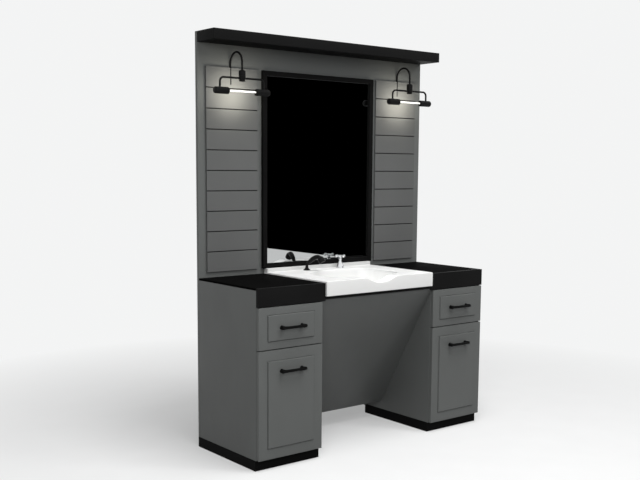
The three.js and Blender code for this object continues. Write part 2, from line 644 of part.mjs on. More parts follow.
function fixtures(parent) {
  const mixer = groupAt(MIXER_X, -MIXER_SETBACK, RIM + FIT, parent);
  const body = turned([
    [0, 0], [MIXER_BASE_RADIUS, 0], [MIXER_BASE_RADIUS, 3], [0.86 * MIXER_BASE_RADIUS, 0.25 * MIXER_HEIGHT],
    [0.66 * MIXER_BASE_RADIUS, 0.55 * MIXER_HEIGHT], [MIXER_NECK_RADIUS, 0.85 * MIXER_HEIGHT],
    [MIXER_NECK_RADIUS, MIXER_HEIGHT],
    [SPINDLE_RADIUS, MIXER_HEIGHT], [SPINDLE_RADIUS, MIXER_HEIGHT + HANDLE_HEIGHT / 2],
    [0, MIXER_HEIGHT + HANDLE_HEIGHT / 2],
  ]);
  piece('mixer_body', body, CHROME, mixer);

  const base = MIXER_HEIGHT + FIT;
  const boreTop = MIXER_HEIGHT + HANDLE_HEIGHT / 2 + FIT;
  const boreRadius = SPINDLE_RADIUS + PIVOT_CLEARANCE;
  const hub = turned([
    [0, boreTop], [boreRadius, boreTop], [boreRadius, base], [HANDLE_HUB_RADIUS, base],
    [HANDLE_HUB_RADIUS, base + 0.8 * HANDLE_HEIGHT], [0.6 * HANDLE_HUB_RADIUS, base + HANDLE_HEIGHT],
    [0, base + HANDLE_HEIGHT],
  ]);
  const armZ = base + 0.7 * HANDLE_HEIGHT;
  const spoke = (turn) => rodX(HANDLE_ARM_RADIUS, HANDLE_ARM - HANDLE_ARM_RADIUS, SMALL_ROUND)
    .translate((HANDLE_ARM + HANDLE_ARM_RADIUS) / 2, 0, 0)
    .rotateZ(turn).translate(0, 0, armZ);
  const knob = (turn) => new THREE.SphereGeometry(1.5 * HANDLE_ARM_RADIUS, SMALL_ROUND, 8)
    .translate(HANDLE_ARM, 0, 0).rotateZ(turn).translate(0, 0, armZ);
  const turns = [0, 1, 2, 3].map((i) => (i * Math.PI) / 2);
  const reach = turns.map((turn) => cut(spoke(turn), rodZ(boreRadius, 4 * HANDLE_HEIGHT)));
  piece('mixer_handle', join(hub, ...reach, ...turns.map(knob)), CHROME, mixer);

  const stand = groupAt(SPRAYER_X, -SPRAYER_SETBACK, RIM + FIT, parent);
  const socket = SPRAYER_TAIL_RADIUS + SOCKET_CLEARANCE;
  const floorZ = 0.3 * HOLDER_HEIGHT;
  const holder = turned([
    [0, 0], [HOLDER_BASE_RADIUS, 0], [HOLDER_BASE_RADIUS, 3], [HOLDER_NECK_RADIUS, 0.6 * HOLDER_HEIGHT],
    [HOLDER_NECK_RADIUS, HOLDER_HEIGHT], [socket, HOLDER_HEIGHT], [socket, floorZ], [0, floorZ],
  ]);
  piece('sprayer_holder', holder, BLACK_PLASTIC, stand);

  const tailZ = floorZ + FIT;
  const neckZ = HOLDER_HEIGHT + FIT;
  const tail = rodZ(SPRAYER_TAIL_RADIUS, neckZ + 4 - tailZ, SMALL_ROUND)
    .translate(0, 0, (neckZ + 4 + tailZ) / 2);
  const shoulder = turned([
    [0, neckZ], [HOLDER_NECK_RADIUS, neckZ], [SPRAYER_NECK_RADIUS, neckZ + 8], [0, neckZ + 8],
  ], SMALL_ROUND);
  const neckEnd = at(0, -SPRAYER_REACH, SPRAYER_RISE);
  const neck = bar(SPRAYER_NECK_RADIUS, new THREE.CubicBezierCurve3(
    at(0, 0, neckZ + 6), at(0, -0.06 * SPRAYER_REACH, 0.66 * SPRAYER_RISE),
    at(0, -0.42 * SPRAYER_REACH, 1.28 * SPRAYER_RISE), neckEnd,
  ), 14, SMALL_ROUND);
  const head = turned([
    [0, 0.5 * SPRAYER_HEAD_LENGTH], [0.6 * SPRAYER_HEAD_RADIUS, 0.42 * SPRAYER_HEAD_LENGTH],
    [0.9 * SPRAYER_HEAD_RADIUS, 0.15 * SPRAYER_HEAD_LENGTH],
    [SPRAYER_HEAD_RADIUS, -0.2 * SPRAYER_HEAD_LENGTH],
    [SPRAYER_HEAD_RADIUS, -0.5 * SPRAYER_HEAD_LENGTH], [0, -0.5 * SPRAYER_HEAD_LENGTH],
  ].reverse()).rotateX(-Math.PI / 5).translate(0, neckEnd.y, neckEnd.z);
  piece('hand_sprayer', join(tail, shoulder, neck, head).rotateZ(SPRAYER_TURN), BLACK_PLASTIC, stand);
}

// Back panel, canopy, mirror and grooved boards

function backWall(wasteZ, parent) {
  const legs = KNEE_HALF - BOARD;
  const sheet = alongY([
    [-HALF, CARCASS_BOTTOM], [-legs, CARCASS_BOTTOM], [-legs, SERVICE_HEIGHT], [legs, SERVICE_HEIGHT],
    [legs, CARCASS_BOTTOM], [HALF, CARCASS_BOTTOM], [HALF, STATION_HEIGHT], [-HALF, STATION_HEIGHT],
  ], -PANEL_BOARD, 0);
  const wasteHole = rod(WASTE_RADIUS + WASTE_CLEARANCE, 4 * PANEL_BOARD).translate(0, 0, wasteZ);
  piece('back_panel', cut(sheet, wasteHole), GREY_PAINT, parent);

  const canopy = block(
    [-HALF, HALF], [PANEL_FACE - CANOPY_DEPTH, PANEL_FACE], [CANOPY_BOTTOM, STATION_HEIGHT],
  );
  piece('canopy', canopy, BLACK_PAINT, parent);
}

function mirror(parent) {
  const front = PANEL_FACE - FRAME_DEPTH;
  const inner = MIRROR_HALF - FRAME_WIDTH;
  const low = MIRROR_BOTTOM + FRAME_WIDTH;
  const high = MIRROR_TOP - FRAME_WIDTH;
  const rail = (outerZ, innerZ) => alongY([
    [-MIRROR_HALF + FIT, outerZ], [MIRROR_HALF - FIT, outerZ], [inner - FIT, innerZ], [-inner + FIT, innerZ],
  ], front, PANEL_FACE);
  const stile = (out) => alongY([
    [out * MIRROR_HALF, MIRROR_BOTTOM + FIT], [out * MIRROR_HALF, MIRROR_TOP - FIT],
    [out * inner, high - FIT], [out * inner, low + FIT],
  ], front, PANEL_FACE);
  piece('mirror_frame_top', rail(MIRROR_TOP, high), BLACK_PAINT, parent);
  piece('mirror_frame_bottom', rail(MIRROR_BOTTOM, low), BLACK_PAINT, parent);
  piece('mirror_frame_left', stile(-1), BLACK_PAINT, parent);
  piece('mirror_frame_right', stile(1), BLACK_PAINT, parent);
  const glass = block(
    [-inner + FIT, inner - FIT], [PANEL_FACE - GLASS_THICKNESS, PANEL_FACE], [low + FIT, high - FIT],
  );
  piece('mirror_glass', glass, MIRROR_SILVER, parent);
}

/** One column of boards: a sheet with a V groove at each board's edge, let in for the lamp's stem. */
function boards(side, out, parent) {
  const pitch = (MIRROR_TOP - MIRROR_BOTTOM) / BOARD_COUNT;
  const face = PANEL_FACE - BOARD_THICKNESS;
  const profile = [[PANEL_FACE, MIRROR_TOP], [PANEL_FACE, MIRROR_BOTTOM], [face, MIRROR_BOTTOM]];
  for (let i = 1; i < BOARD_COUNT; i += 1) {
    const z = MIRROR_BOTTOM + i * pitch;
    profile.push([face, z - GROOVE_WIDTH / 2], [face + GROOVE_DEPTH, z], [face, z + GROOVE_WIDTH / 2]);
  }
  profile.push([face, MIRROR_TOP]);
  const ends = [out * (MIRROR_HALF + BOARD_MIRROR_GAP), out * (HALF - BOARD_SIDE_MARGIN)];
  const sheet = alongX(profile, Math.min(...ends), Math.max(...ends));
  const channelLength = 2 * (LAMP_STEM_LET_IN + FIT);
  const channel = rodZ(LAMP_TUBE_RADIUS + FIT, channelLength)
    .translate(out * LAMP_X, PANEL_FACE - LAMP_TUBE_RADIUS, MIRROR_TOP);
  piece(`${side}_boards`, cut(sheet, channel), GREY_PAINT, parent);
}

// Lamp: arched arm with its socket, swivelling yoke, two end caps and the light tube

function lamp(side, out, parent) {
  const stemY = PANEL_FACE - LAMP_TUBE_RADIUS;
  const group = groupAt(out * LAMP_X, 0, 0, parent);
  const archRadius = (LAMP_REACH + stemY) / 2;
  const archTop = MIRROR_TOP + LAMP_ARCH_RISE;
  const springing = archTop - archRadius;
  const midY = stemY - archRadius;
  const headY = -LAMP_REACH;
  const socketTop = archTop - LAMP_SOCKET_DROP;
  const socketBottom = socketTop - SOCKET_HEIGHT;
  const spigotHole = SPIGOT_LENGTH + FIT;
  const arm = bar(LAMP_TUBE_RADIUS, route(
    line(at(0, stemY, MIRROR_TOP - LAMP_STEM_LET_IN), at(0, stemY, springing)),
    bend(at(0, stemY, springing), at(0, stemY, archTop), at(0, midY, archTop)),
    bend(at(0, midY, archTop), at(0, headY, archTop), at(0, headY, springing)),
    line(at(0, headY, springing), at(0, headY, socketTop - SOCKET_HEIGHT / 4)),
  ), 34);
  const boreRadius = SPIGOT_RADIUS + PIVOT_CLEARANCE;
  const socket = turned([
    [0, socketBottom + spigotHole], [boreRadius, socketBottom + spigotHole], [boreRadius, socketBottom],
    [SOCKET_RADIUS, socketBottom], [SOCKET_RADIUS, socketTop - 0.22 * SOCKET_HEIGHT],
    [0.78 * SOCKET_RADIUS, socketTop - 0.06 * SOCKET_HEIGHT],
    [1.6 * LAMP_TUBE_RADIUS, socketTop], [0, socketTop],
  ]).translate(0, headY, 0);
  piece(`${side}_lamp_arm`, join(arm, socket), BLACK_METAL, group);

  const head = groupAt(0, headY, socketBottom - FIT - HUB_HEIGHT, group);
  const hub = turned([
    [0, 0], [HUB_COLLAR_RADIUS, 0], [HUB_COLLAR_RADIUS, HUB_COLLAR], [SOCKET_RADIUS, HUB_COLLAR],
    [SOCKET_RADIUS, HUB_HEIGHT], [SPIGOT_RADIUS, HUB_HEIGHT], [SPIGOT_RADIUS, HUB_HEIGHT + SPIGOT_LENGTH],
    [0, HUB_HEIGHT + SPIGOT_LENGTH],
  ]);
  const legFoot = YOKE_BAR_RAISE - YOKE_LEG;
  const shoulder = YOKE_HALF_SPAN - YOKE_CORNER;
  const legTop = YOKE_BAR_RAISE - YOKE_CORNER;
  const foot = (hand) => at(hand * YOKE_HALF_SPAN, 0, legFoot);
  const elbow = (hand) => at(hand * YOKE_HALF_SPAN, 0, legTop);
  const corner = (hand) => at(hand * YOKE_HALF_SPAN, 0, YOKE_BAR_RAISE);
  const reach = (hand) => at(hand * shoulder, 0, YOKE_BAR_RAISE);
  const yoke = bar(YOKE_RADIUS, route(
    line(foot(-1), elbow(-1)),
    bend(elbow(-1), corner(-1), reach(-1)),
    line(reach(-1), reach(1)),
    bend(reach(1), corner(1), elbow(1)),
    line(elbow(1), foot(1)),
  ), 40);
  piece(`${side}_lamp_yoke`, join(yoke, hub), BLACK_METAL, head);

  const axisZ = legFoot - FIT - CAP_RADIUS;
  const capOut = YOKE_HALF_SPAN + CAP_OVERRUN;
  const capIn = capOut - CAP_LENGTH;
  const glowHole = GLOW_RADIUS + SOCKET_CLEARANCE;
  const nose = 0.35 * CAP_RADIUS;
  const cap = turnedAcross([
    [0, capIn + GLOW_SEAT + FIT], [glowHole, capIn + GLOW_SEAT + FIT], [glowHole, capIn],
    [CAP_RADIUS - nose, capIn], [CAP_RADIUS, capIn + nose], [CAP_RADIUS, capOut - nose],
    [CAP_RADIUS - nose, capOut], [0, capOut],
  ]);
  const capFacing = (hand) => cap.clone().rotateZ(hand > 0 ? 0 : Math.PI).translate(0, 0, axisZ);
  piece(`${side}_lamp_cap_outer`, capFacing(out), BLACK_METAL, head);
  piece(`${side}_lamp_cap_inner`, capFacing(-out), BLACK_METAL, head);
  const glow = rodX(GLOW_RADIUS, 2 * (capIn + GLOW_SEAT)).translate(0, 0, axisZ);
  piece(`${side}_lamp_tube`, glow, LAMP_GLOW, head);
}

// The whole station
for (const [side, out] of SIDES) {
  const pedestal = groupAt(out * PEDESTAL_X, 0, 0, assembly);
  carcass(side, out, pedestal);
  drawer(side, out, pedestal);
  hamper(side, pedestal);
  counter(side, out, assembly);
  boards(side, out, assembly);
  lamp(side, out, assembly);
}
kneeSpace(assembly);
basin(assembly);
const wasteZ = waste(assembly);
fixtures(assembly);
backWall(wasteZ, assembly);
mirror(assembly);

export default station;
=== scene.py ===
"""Looks of a salon wash and styling station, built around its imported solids.

Basin, fronts, pulls, fixtures, lamps and eased boards are numpy surfaces that replace their plain solids.
The other solids stay and take procedural finishes. Metres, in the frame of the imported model.
"""

import logging
import math
from dataclasses import dataclass
from enum import Enum, StrEnum

import bmesh
import bpy
import numpy as np
from mathutils import Matrix, Vector


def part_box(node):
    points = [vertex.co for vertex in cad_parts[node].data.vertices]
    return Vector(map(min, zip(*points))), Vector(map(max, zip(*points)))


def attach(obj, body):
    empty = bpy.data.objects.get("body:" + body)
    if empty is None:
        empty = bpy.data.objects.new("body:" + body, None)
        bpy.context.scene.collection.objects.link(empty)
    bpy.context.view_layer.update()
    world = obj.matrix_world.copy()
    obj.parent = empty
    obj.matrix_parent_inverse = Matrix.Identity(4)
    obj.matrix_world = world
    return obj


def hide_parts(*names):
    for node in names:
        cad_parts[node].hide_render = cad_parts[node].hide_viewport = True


LOG = logging.getLogger("station")
MM = 0.001
STATION = "station"
UPSTAND = 20 * MM
ALONG_X, ALONG_Y, ALONG_Z = np.eye(3)
CORNERS = np.array([(-1, -1), (1, -1), (1, 1), (-1, 1)])
Array = np.ndarray
Material = bpy.types.Material
Pair = tuple[float, float]
Triple = tuple[float, float, float]

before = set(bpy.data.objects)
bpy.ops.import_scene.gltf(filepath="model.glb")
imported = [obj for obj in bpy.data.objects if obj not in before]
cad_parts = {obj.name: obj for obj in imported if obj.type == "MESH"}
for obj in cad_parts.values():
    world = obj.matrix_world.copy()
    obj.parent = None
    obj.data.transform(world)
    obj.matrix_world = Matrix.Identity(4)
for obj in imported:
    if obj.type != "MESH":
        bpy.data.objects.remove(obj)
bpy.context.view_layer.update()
SCENE = bpy.context.scene


class Axis(Enum):
    """Axis of the frame, with the order of the (a, b, height) columns of a profile turned about it."""

    X = (1, 2, 0)
    Y = (2, 0, 1)
    Z = (0, 1, 2)


class Side(StrEnum):
    """Side of the station, as its nodes are named."""

    LEFT = "left"
    RIGHT = "right"


class Kind(StrEnum):
    """What a front and its pull belong to."""

    DRAWER = "drawer"
    HAMPER = "hamper"


class End(StrEnum):
    """End of a lamp, as its cap is named."""

    OUTER = "outer"
    INNER = "inner"


class LightShape(Enum):
    """Outline of an area light."""

    ROUND = "DISK"
    STRIP = "RECTANGLE"


@dataclass(frozen=True)
class Span:
    """Lowest and highest corner of a solid, in metres."""

    lo: Array
    hi: Array

    @classmethod
    def of(cls, node: str) -> "Span":
        """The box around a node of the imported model."""
        return cls(*(np.array(tuple(corner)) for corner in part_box(node)))

    @property
    def mid(self) -> Array:
        """Centre of the box."""
        return (self.lo + self.hi) / 2

    @property
    def size(self) -> Array:
        """Lengths of the box's sides."""
        return self.hi - self.lo

    @property
    def foot(self) -> Array:
        """Middle of the box's underside."""
        return np.array([*self.mid[:2], self.lo[2]])


def pair(*names: str) -> list[str]:
    """Names of the nodes of both sides."""
    return [f"{side}_{name}" for side in Side for name in names]


# Surfaces


def loop(count: int) -> Array:
    """Angles of a closed ring of the given number of points."""
    return np.linspace(0, 2 * math.pi, count, endpoint=False)


def columns(*parts: "Array | float") -> Array:
    """Points with the given coordinates, each of which is spread to the shape of all."""
    return np.stack(np.broadcast_arrays(*parts), axis=-1)


def quarter(steps: int) -> Array:
    """Quarter of a unit circle, as rows of (1 minus cos, 1 minus sin) from angle 0 up."""
    turn = np.linspace(0, math.pi / 2, steps)
    return columns(1 - np.cos(turn), 1 - np.sin(turn))


def turned(profile: Array, centre: Array, axis: Axis = Axis.Z, sides: int = 40) -> Array:
    """Surface of revolution: each (radius, height) becomes a ring, radius times (cos, sin), at its height.

    Args:
        profile: rows of (radius, height).
        centre: point that height 0 stands on.
        axis: direction of the heights.
        sides: points in a ring.

    Returns:
        Grid of points, one row for each profile point.
    """
    angle = loop(sides)
    radius, height = profile[:, :1], profile[:, 1:]
    ring = columns(radius * np.cos(angle), radius * np.sin(angle), height)
    grid = np.empty_like(ring)
    grid[..., list(axis.value)] = ring
    return grid + centre


def swept(path: Array, radius: "Array | float", across: Array, sides: int = 28, shut: bool = False) -> Array:
    """Round bar along a flat path.

    A ring is the path's point plus radius times (cos times the in-plane normal plus sin times across).

    Args:
        path: points of the axis, all in one plane.
        radius: radius along it; a radius of 0 at an end closes it.
        across: unit normal of that plane.
        sides: points in a ring.
        shut: adds a point of radius 0 just inside each end.

    Returns:
        Grid of points, one row for each point of the path.
    """
    radius = np.broadcast_to(radius, len(path))
    if shut:
        ends = path[[0, -1]] + (path[[1, -2]] - path[[0, -1]]) * 1e-3
        path = np.vstack([ends[:1], path, ends[1:]])
        radius = np.concatenate([[0.0], radius, [0.0]])
    tangent = np.gradient(path, axis=0)
    tangent /= np.maximum(np.linalg.norm(tangent, axis=1, keepdims=True), 1e-9)
    normal = np.cross(across, tangent)
    angle = loop(sides)[None, :, None]
    ring = np.cos(angle) * normal[:, None, :] + np.sin(angle) * across
    return path[:, None, :] + radius[:, None, None] * ring


def smooth(t: Array) -> Array:
    """Smooth step from 0 to 1: 3 t squared minus 2 t cubed, held outside 0 to 1."""
    t = np.clip(t, 0, 1)
    return t * t * (3 - 2 * t)


class Shell:
    """A mesh in the making, gathered from grids of points."""

    def __init__(self) -> None:
        """Starts with no points and no faces."""
        self.points: list[Array] = []
        self.quads: list[Array] = []
        self.count = 0

    def add(self, grid: Array, ring: bool = True, tube: bool = False) -> "Shell":
        """Adds the quads between neighbouring points of a grid.

        Args:
            grid: points as rows by columns by 3.
            ring: joins the last column to the first.
            tube: joins the last row to the first.

        Returns:
            This shell, for a chain of calls.
        """
        rows, columns, _ = grid.shape
        index = np.arange(rows * columns).reshape(rows, columns) + self.count
        right, down, corner = (np.roll(index, shift, axis=(0, 1)) for shift in ((0, -1), (-1, 0), (-1, -1)))
        quads = np.stack([index, down, corner, right], axis=-1)
        quads = quads if ring else quads[:, :-1]
        quads = quads if tube else quads[:-1]
        self.points.append(grid.reshape(-1, 3))
        self.quads.append(quads.reshape(-1, 4))
        self.count += rows * columns
        return self

    def rounded_box(self, lo: Array, hi: Array, radius: float, bend: int = 4) -> "Shell":
        """Adds a box with rounded edges.

        Each surface point of the box is drawn back to the nearest point of the box shrunk by the radius, then
        pushed out by the radius along the line between them.

        Args:
            lo: lowest corner.
            hi: highest corner.
            radius: edge radius.
            bend: points across a rounded edge.

        Returns:
            This shell.
        """
        centre, half = (lo + hi) / 2, (hi - lo) / 2
        step = radius * np.linspace(0, 1, bend)
        lines = [np.concatenate([step - h, h - step[::-1]]) for h in half]
        for normal, u, v in ((0, 1, 2), (1, 2, 0), (2, 0, 1)):
            a, b = np.meshgrid(lines[u], lines[v], indexing="ij")
            for sign in (-1.0, 1.0):
                face = np.empty(a.shape + (3,))
                face[..., u], face[..., v], face[..., normal] = a, b, sign * half[normal]
                core = np.clip(face, radius - half, half - radius)
                out = face - core
                out /= np.maximum(np.linalg.norm(out, axis=-1, keepdims=True), 1e-9)
                self.add(core + radius * out + centre, ring=False)
        return self

    def build(self, name: str, finish: Material, body: str, nodes: tuple[str, ...],
              sharp: float = 38.0) -> None:
        """Makes the object, welds its seams, turns its faces outwards and puts it on a body.

        Args:
            name: name of the piece.
            finish: material of the whole piece.
            body: body that it rides on.
            nodes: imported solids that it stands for.
            sharp: edges above this angle stay crisp, in degrees.
        """
        mesh = bpy.data.meshes.new(name)
        mesh.from_pydata(np.vstack(self.points), [], np.vstack(self.quads).tolist())
        work = bmesh.new()
        work.from_mesh(mesh)
        bmesh.ops.remove_doubles(work, verts=work.verts, dist=2e-6)
        bmesh.ops.dissolve_degenerate(work, edges=work.edges, dist=2e-6)
        bmesh.ops.recalc_face_normals(work, faces=work.faces)
        work.to_mesh(mesh)
        work.free()
        mesh.shade_smooth()
        mesh.set_sharp_from_angle(angle=math.radians(sharp))
        mesh.materials.append(finish)
        piece = bpy.data.objects.new(name, mesh)
        SCENE.collection.objects.link(piece)
        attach(piece, body)
        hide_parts(*nodes)
        LOG.info("piece %s on %s, %d faces", name, body, len(mesh.polygons))


# Finishes


@dataclass(frozen=True)
class Term:
    """A shader socket that takes part in Python expressions; each operator adds one Math node."""

    recipe: "Recipe"
    socket: bpy.types.NodeSocket

    def _math(self, operation: str, *values: "Term | float") -> "Term":
        """One Math node on the given values."""
        return self.recipe.node("Math", {"operation": operation}, dict(enumerate(values)))

    def __add__(self, other: "Term | float") -> "Term":
        """Sum."""
        return self._math("ADD", self, other)

    def __sub__(self, other: "Term | float") -> "Term":
        """Difference."""
        return self._math("SUBTRACT", self, other)

    def __rsub__(self, other: float) -> "Term":
        """Difference from a number."""
        return self._math("SUBTRACT", other, self)

    def __mul__(self, other: "Term | float") -> "Term":
        """Product."""
        return self._math("MULTIPLY", self, other)

    def clipped(self, low: float, high: float) -> "Term":
        """Straight run from 0 at the first value to 1 at the second, held outside them."""
        return self.recipe.node("MapRange", {}, {"Value": self, "From Min": low, "From Max": high})

    __radd__ = __add__
    __rmul__ = __mul__


class Recipe:
    """Node tree of a material, with its principled shader, or of a world."""

    def __init__(self, name: str, library: str = "materials") -> None:
        """Makes the material or world.

        Args:
            name: its name.
            library: collection of Blender's data that it is made in.
        """
        self.owner = getattr(bpy.data, library).new(name)
        self.owner.use_nodes = True
        self.tree = self.owner.node_tree
        self.shader = self.tree.nodes.get("Principled BSDF")
        self.place = self.node("TexCoord", out="Object")

    def feed(self, node: bpy.types.Node, values: dict) -> None:
        """Sets or links the input sockets of a node.

        Args:
            node: node to feed.
            values: socket name or index to a number, a tuple or a Term.
        """
        for key, value in values.items():
            if isinstance(value, Term):
                self.tree.links.new(value.socket, node.inputs[key])
            else:
                node.inputs[key].default_value = value

    def node(self, kind: str, settings: dict | None = None, values: dict | None = None,
             out: int | str = 0) -> Term:
        """Any node.

        Args:
            kind: node type after the words ShaderNode.
            settings: properties that are set first.
            values: numbers or links of its sockets.
            out: output socket to return.

        Returns:
            The chosen output.
        """
        made = self.tree.nodes.new("ShaderNode" + kind)
        for key, value in (settings or {}).items():
            setattr(made, key, value)
        self.feed(made, values or {})
        return Term(self, made.outputs[out])

    def along(self, axis: Axis) -> Term:
        """The place along one axis."""
        return self.node("SeparateXYZ", {}, {0: self.place}, axis.name)

    def noise(self, scale: float, detail: float = 3.0, stretch: Triple = (1, 1, 1)) -> Term:
        """Noise on the object's own coordinates, stretched along its axes."""
        place = self.node("Mapping", {}, {"Vector": self.place, "Scale": stretch})
        return self.node("TexNoise", {}, {"Vector": place, "Scale": scale, "Detail": detail})

    def blend(self, factor: "Term | float", low: "Term | Triple", high: "Term | Triple") -> Term:
        """Colour between two, by a factor."""
        first, second = (end if isinstance(end, Term) else (*end, 1.0) for end in (low, high))
        return self.node("Mix", {"data_type": "RGBA"}, {0: factor, 6: first, 7: second}, 2)

    def bump(self, height: Term, strength: float, distance: float) -> Term:
        """Normal from a height."""
        return self.node("Bump", {}, {"Height": height, "Strength": strength, "Distance": distance})

    def shown(self) -> Term:
        """1 for the rays that show in a picture: from the camera, by reflection or through glass."""
        rays = self.node("LightPath", out="Is Camera Ray") + self.node("LightPath", out="Is Glossy Ray")
        return (rays + self.node("LightPath", out="Is Transmission Ray")).clipped(0.0, 1.0)

    def show(self, shader: Term) -> None:
        """Links a shader to the output."""
        output = next(node for node in self.tree.nodes if node.type.startswith("OUTPUT"))
        self.tree.links.new(shader.socket, output.inputs["Surface"])

    def set(self, **values: "Term | float | tuple") -> Material:
        """Sets the shader's sockets, with underscores for the spaces in their names."""
        self.feed(self.shader, {key.replace("_", " "): value for key, value in values.items()})
        return self.owner


def scaled(colour: Triple, share: float) -> Triple:
    """The colour times a share."""
    return tuple(c * share for c in colour)


@dataclass(frozen=True)
class Lacquer:
    """Sprayed satin lacquer on board: a faint cloudiness, fine orange peel and slightly uneven gloss.

    Below the height of an underside, where one is given, painted shade darkens its tone.
    """

    name: str
    colour: Triple
    roughness: float = 0.5
    specular: float = 0.3
    cloud: float = 0.05
    peel: float = 0.05
    underside: float | None = None
    # Share of the colour in the painted shade below the underside.
    painted_under_shade: float = 0.2

    def make(self) -> Material:
        """Builds the material.

        Returns:
            The material.
        """
        mix = Recipe(self.name)
        cloud = mix.noise(2.6, 4.0).clipped(0.3, 0.7)
        tone = mix.blend(cloud, scaled(self.colour, 1 - self.cloud), scaled(self.colour, 1 + self.cloud))
        # Painted shade under the underside's height: a darker share of the colour.
        if self.underside is not None:
            above = mix.along(Axis.Z).clipped(self.underside + 0.2 * MM, self.underside + 1.6 * MM)
            tone = mix.blend(above, scaled(self.colour, self.painted_under_shade), tone)
        return mix.set(
            Base_Color=tone,
            Roughness=mix.noise(17.0, 5.0, (1.0, 1.0, 0.35)) * 0.14 + (self.roughness - 0.07),
            Specular_IOR_Level=self.specular,
            Normal=mix.bump(mix.noise(420.0, 2.0), self.peel, 0.6 * MM),
        )


@dataclass(frozen=True)
class Grooves:
    """Lacquer of the grooved boards, with painted shade behind their face: in the grooves, and less on the
    ends.
    """

    name: str
    colour: Triple
    face: float
    ends: Pair
    # Painted shade: the colour's share deep in the grooves, and how much of that shade the ends get.
    shade: float = 0.02
    painted_end_shade: float = 0.12

    def make(self) -> Material:
        """Builds the material: Y tells how deep a point lies for the painted shade, and X finds the ends.

        Returns:
            The material.
        """
        mix = Recipe(self.name)
        out = mix.node("Math", {"operation": "ABSOLUTE"}, {0: mix.along(Axis.X)})
        between = out.clipped(self.ends[0] + 0.3 * MM, self.ends[0] + 1 * MM)
        between = between * out.clipped(self.ends[1] - 0.3 * MM, self.ends[1] - 1 * MM)
        # Painted shade: darker behind the boards' face, less so on the ends.
        deep = mix.along(Axis.Y).clipped(self.face + 0.05 * MM, self.face + 0.4 * MM)
        deep = deep * (between * (1 - self.painted_end_shade) + self.painted_end_shade)
        cloud = mix.noise(2.2, 4.0).clipped(0.3, 0.7)
        plain = mix.blend(cloud, scaled(self.colour, 0.95), scaled(self.colour, 1.05))
        return mix.set(
            Base_Color=mix.blend(deep, plain, scaled(self.colour, self.shade)),
            Roughness=mix.noise(17.0, 5.0, (0.35, 1.0, 1.0)) * 0.14 + 0.5,
            Specular_IOR_Level=0.1,
            Normal=mix.bump(mix.noise(420.0, 2.0), 0.05, 0.6 * MM),
        )


@dataclass(frozen=True)
class SolidSurface:
    """White cast basin material: very fine mottling under a clear, slightly rippled gloss.

    Its tone is set by place as painted light and shade: lighter on the front deck and the bowl's right,
    darker on the rear deck, the bowl's left and rear, and the upstand.
    """

    name: str
    colour: Triple
    face: float
    rim: float
    # Shares of the colour: painted light and painted shade on the deck, the bowl and the upstand.
    deck: Pair = (1.09, 0.95)
    painted_deck_run: Pair = (0.06, 0.11)
    bowl: Pair = (0.93, 1.3)
    painted_bowl_run: Pair = (0.03, 0.19)
    upstand: float = 0.72

    def make(self) -> Material:
        """Builds the material: X, Y and Z tell the bowl, the front and the upstand apart, for the painted
        light and shade.

        Returns:
            The material.
        """
        mix = Recipe(self.name)
        x, y, z = (mix.along(axis) for axis in Axis)
        behind = y.clipped(self.face + 2 * MM, self.face + 5 * MM)
        inside = behind * z.clipped(self.rim - 4 * MM, self.rim - 18 * MM)
        # Painted light and shade on the bowl and the deck.
        left, right, front, rear = (scaled(self.colour, share) for share in self.bowl + self.deck)
        bowl = mix.blend((x - y).clipped(*self.painted_bowl_run), left, right)
        deck = mix.blend(y.clipped(*self.painted_deck_run), front, rear)
        tone = mix.blend(inside, mix.blend(behind, self.colour, deck), bowl)
        # Painted shade on the upstand.
        painted_upstand_shade = z.clipped(self.rim + 0.5 * MM, self.rim + 3 * MM)
        tone = mix.blend(painted_upstand_shade, tone, scaled(self.colour, self.upstand))
        warm = mix.node("VectorMath", {"operation": "MULTIPLY"}, {0: tone, 1: (1.0, 0.995, 0.985)})
        return mix.set(
            Base_Color=mix.blend(mix.noise(160.0, 6.0).clipped(0.35, 0.65), tone, warm),
            Roughness=mix.noise(30.0, 4.0) * 0.12 + 0.26,
            Specular_IOR_Level=0.2,
            Normal=mix.bump(mix.noise(9.0, 2.0), 0.01, 2 * MM),
        )


@dataclass(frozen=True)
class Metal:
    """Bare metal with smudges, and with brushing along X where it is asked for."""

    name: str
    colour: Triple
    roughness: float
    brushed: bool = False

    def make(self) -> Material:
        """Builds the material.

        Returns:
            The material.
        """
        mix = Recipe(self.name)
        smudge = mix.noise(38.0, 5.0)
        grain = mix.noise(70.0, 3.0, (1.0, 1.0, 60.0)) if self.brushed else mix.noise(9.0, 3.0)
        return mix.set(
            Base_Color=mix.blend(smudge.clipped(0.35, 0.75), self.colour, scaled(self.colour, 0.93)),
            Metallic=1.0,
            Roughness=smudge.clipped(0.4, 0.8) * 0.08 + self.roughness,
            Normal=mix.bump(grain, 0.12 if self.brushed else 0.01, 0.4 * MM),
        )


@dataclass(frozen=True)
class Silvering:
    """Mirror glass: silvered metal under a faint haze."""

    name: str
    colour: Triple

    def make(self) -> Material:
        """Builds the material.

        Returns:
            The material.
        """
        mix = Recipe(self.name)
        haze = mix.noise(3.0, 5.0)
        return mix.set(
            Base_Color=mix.blend(haze.clipped(0.3, 0.8), self.colour, scaled(self.colour, 0.98)),
            Metallic=1.0,
            Roughness=haze.clipped(0.55, 0.9) * 0.012 + 0.004,
        )


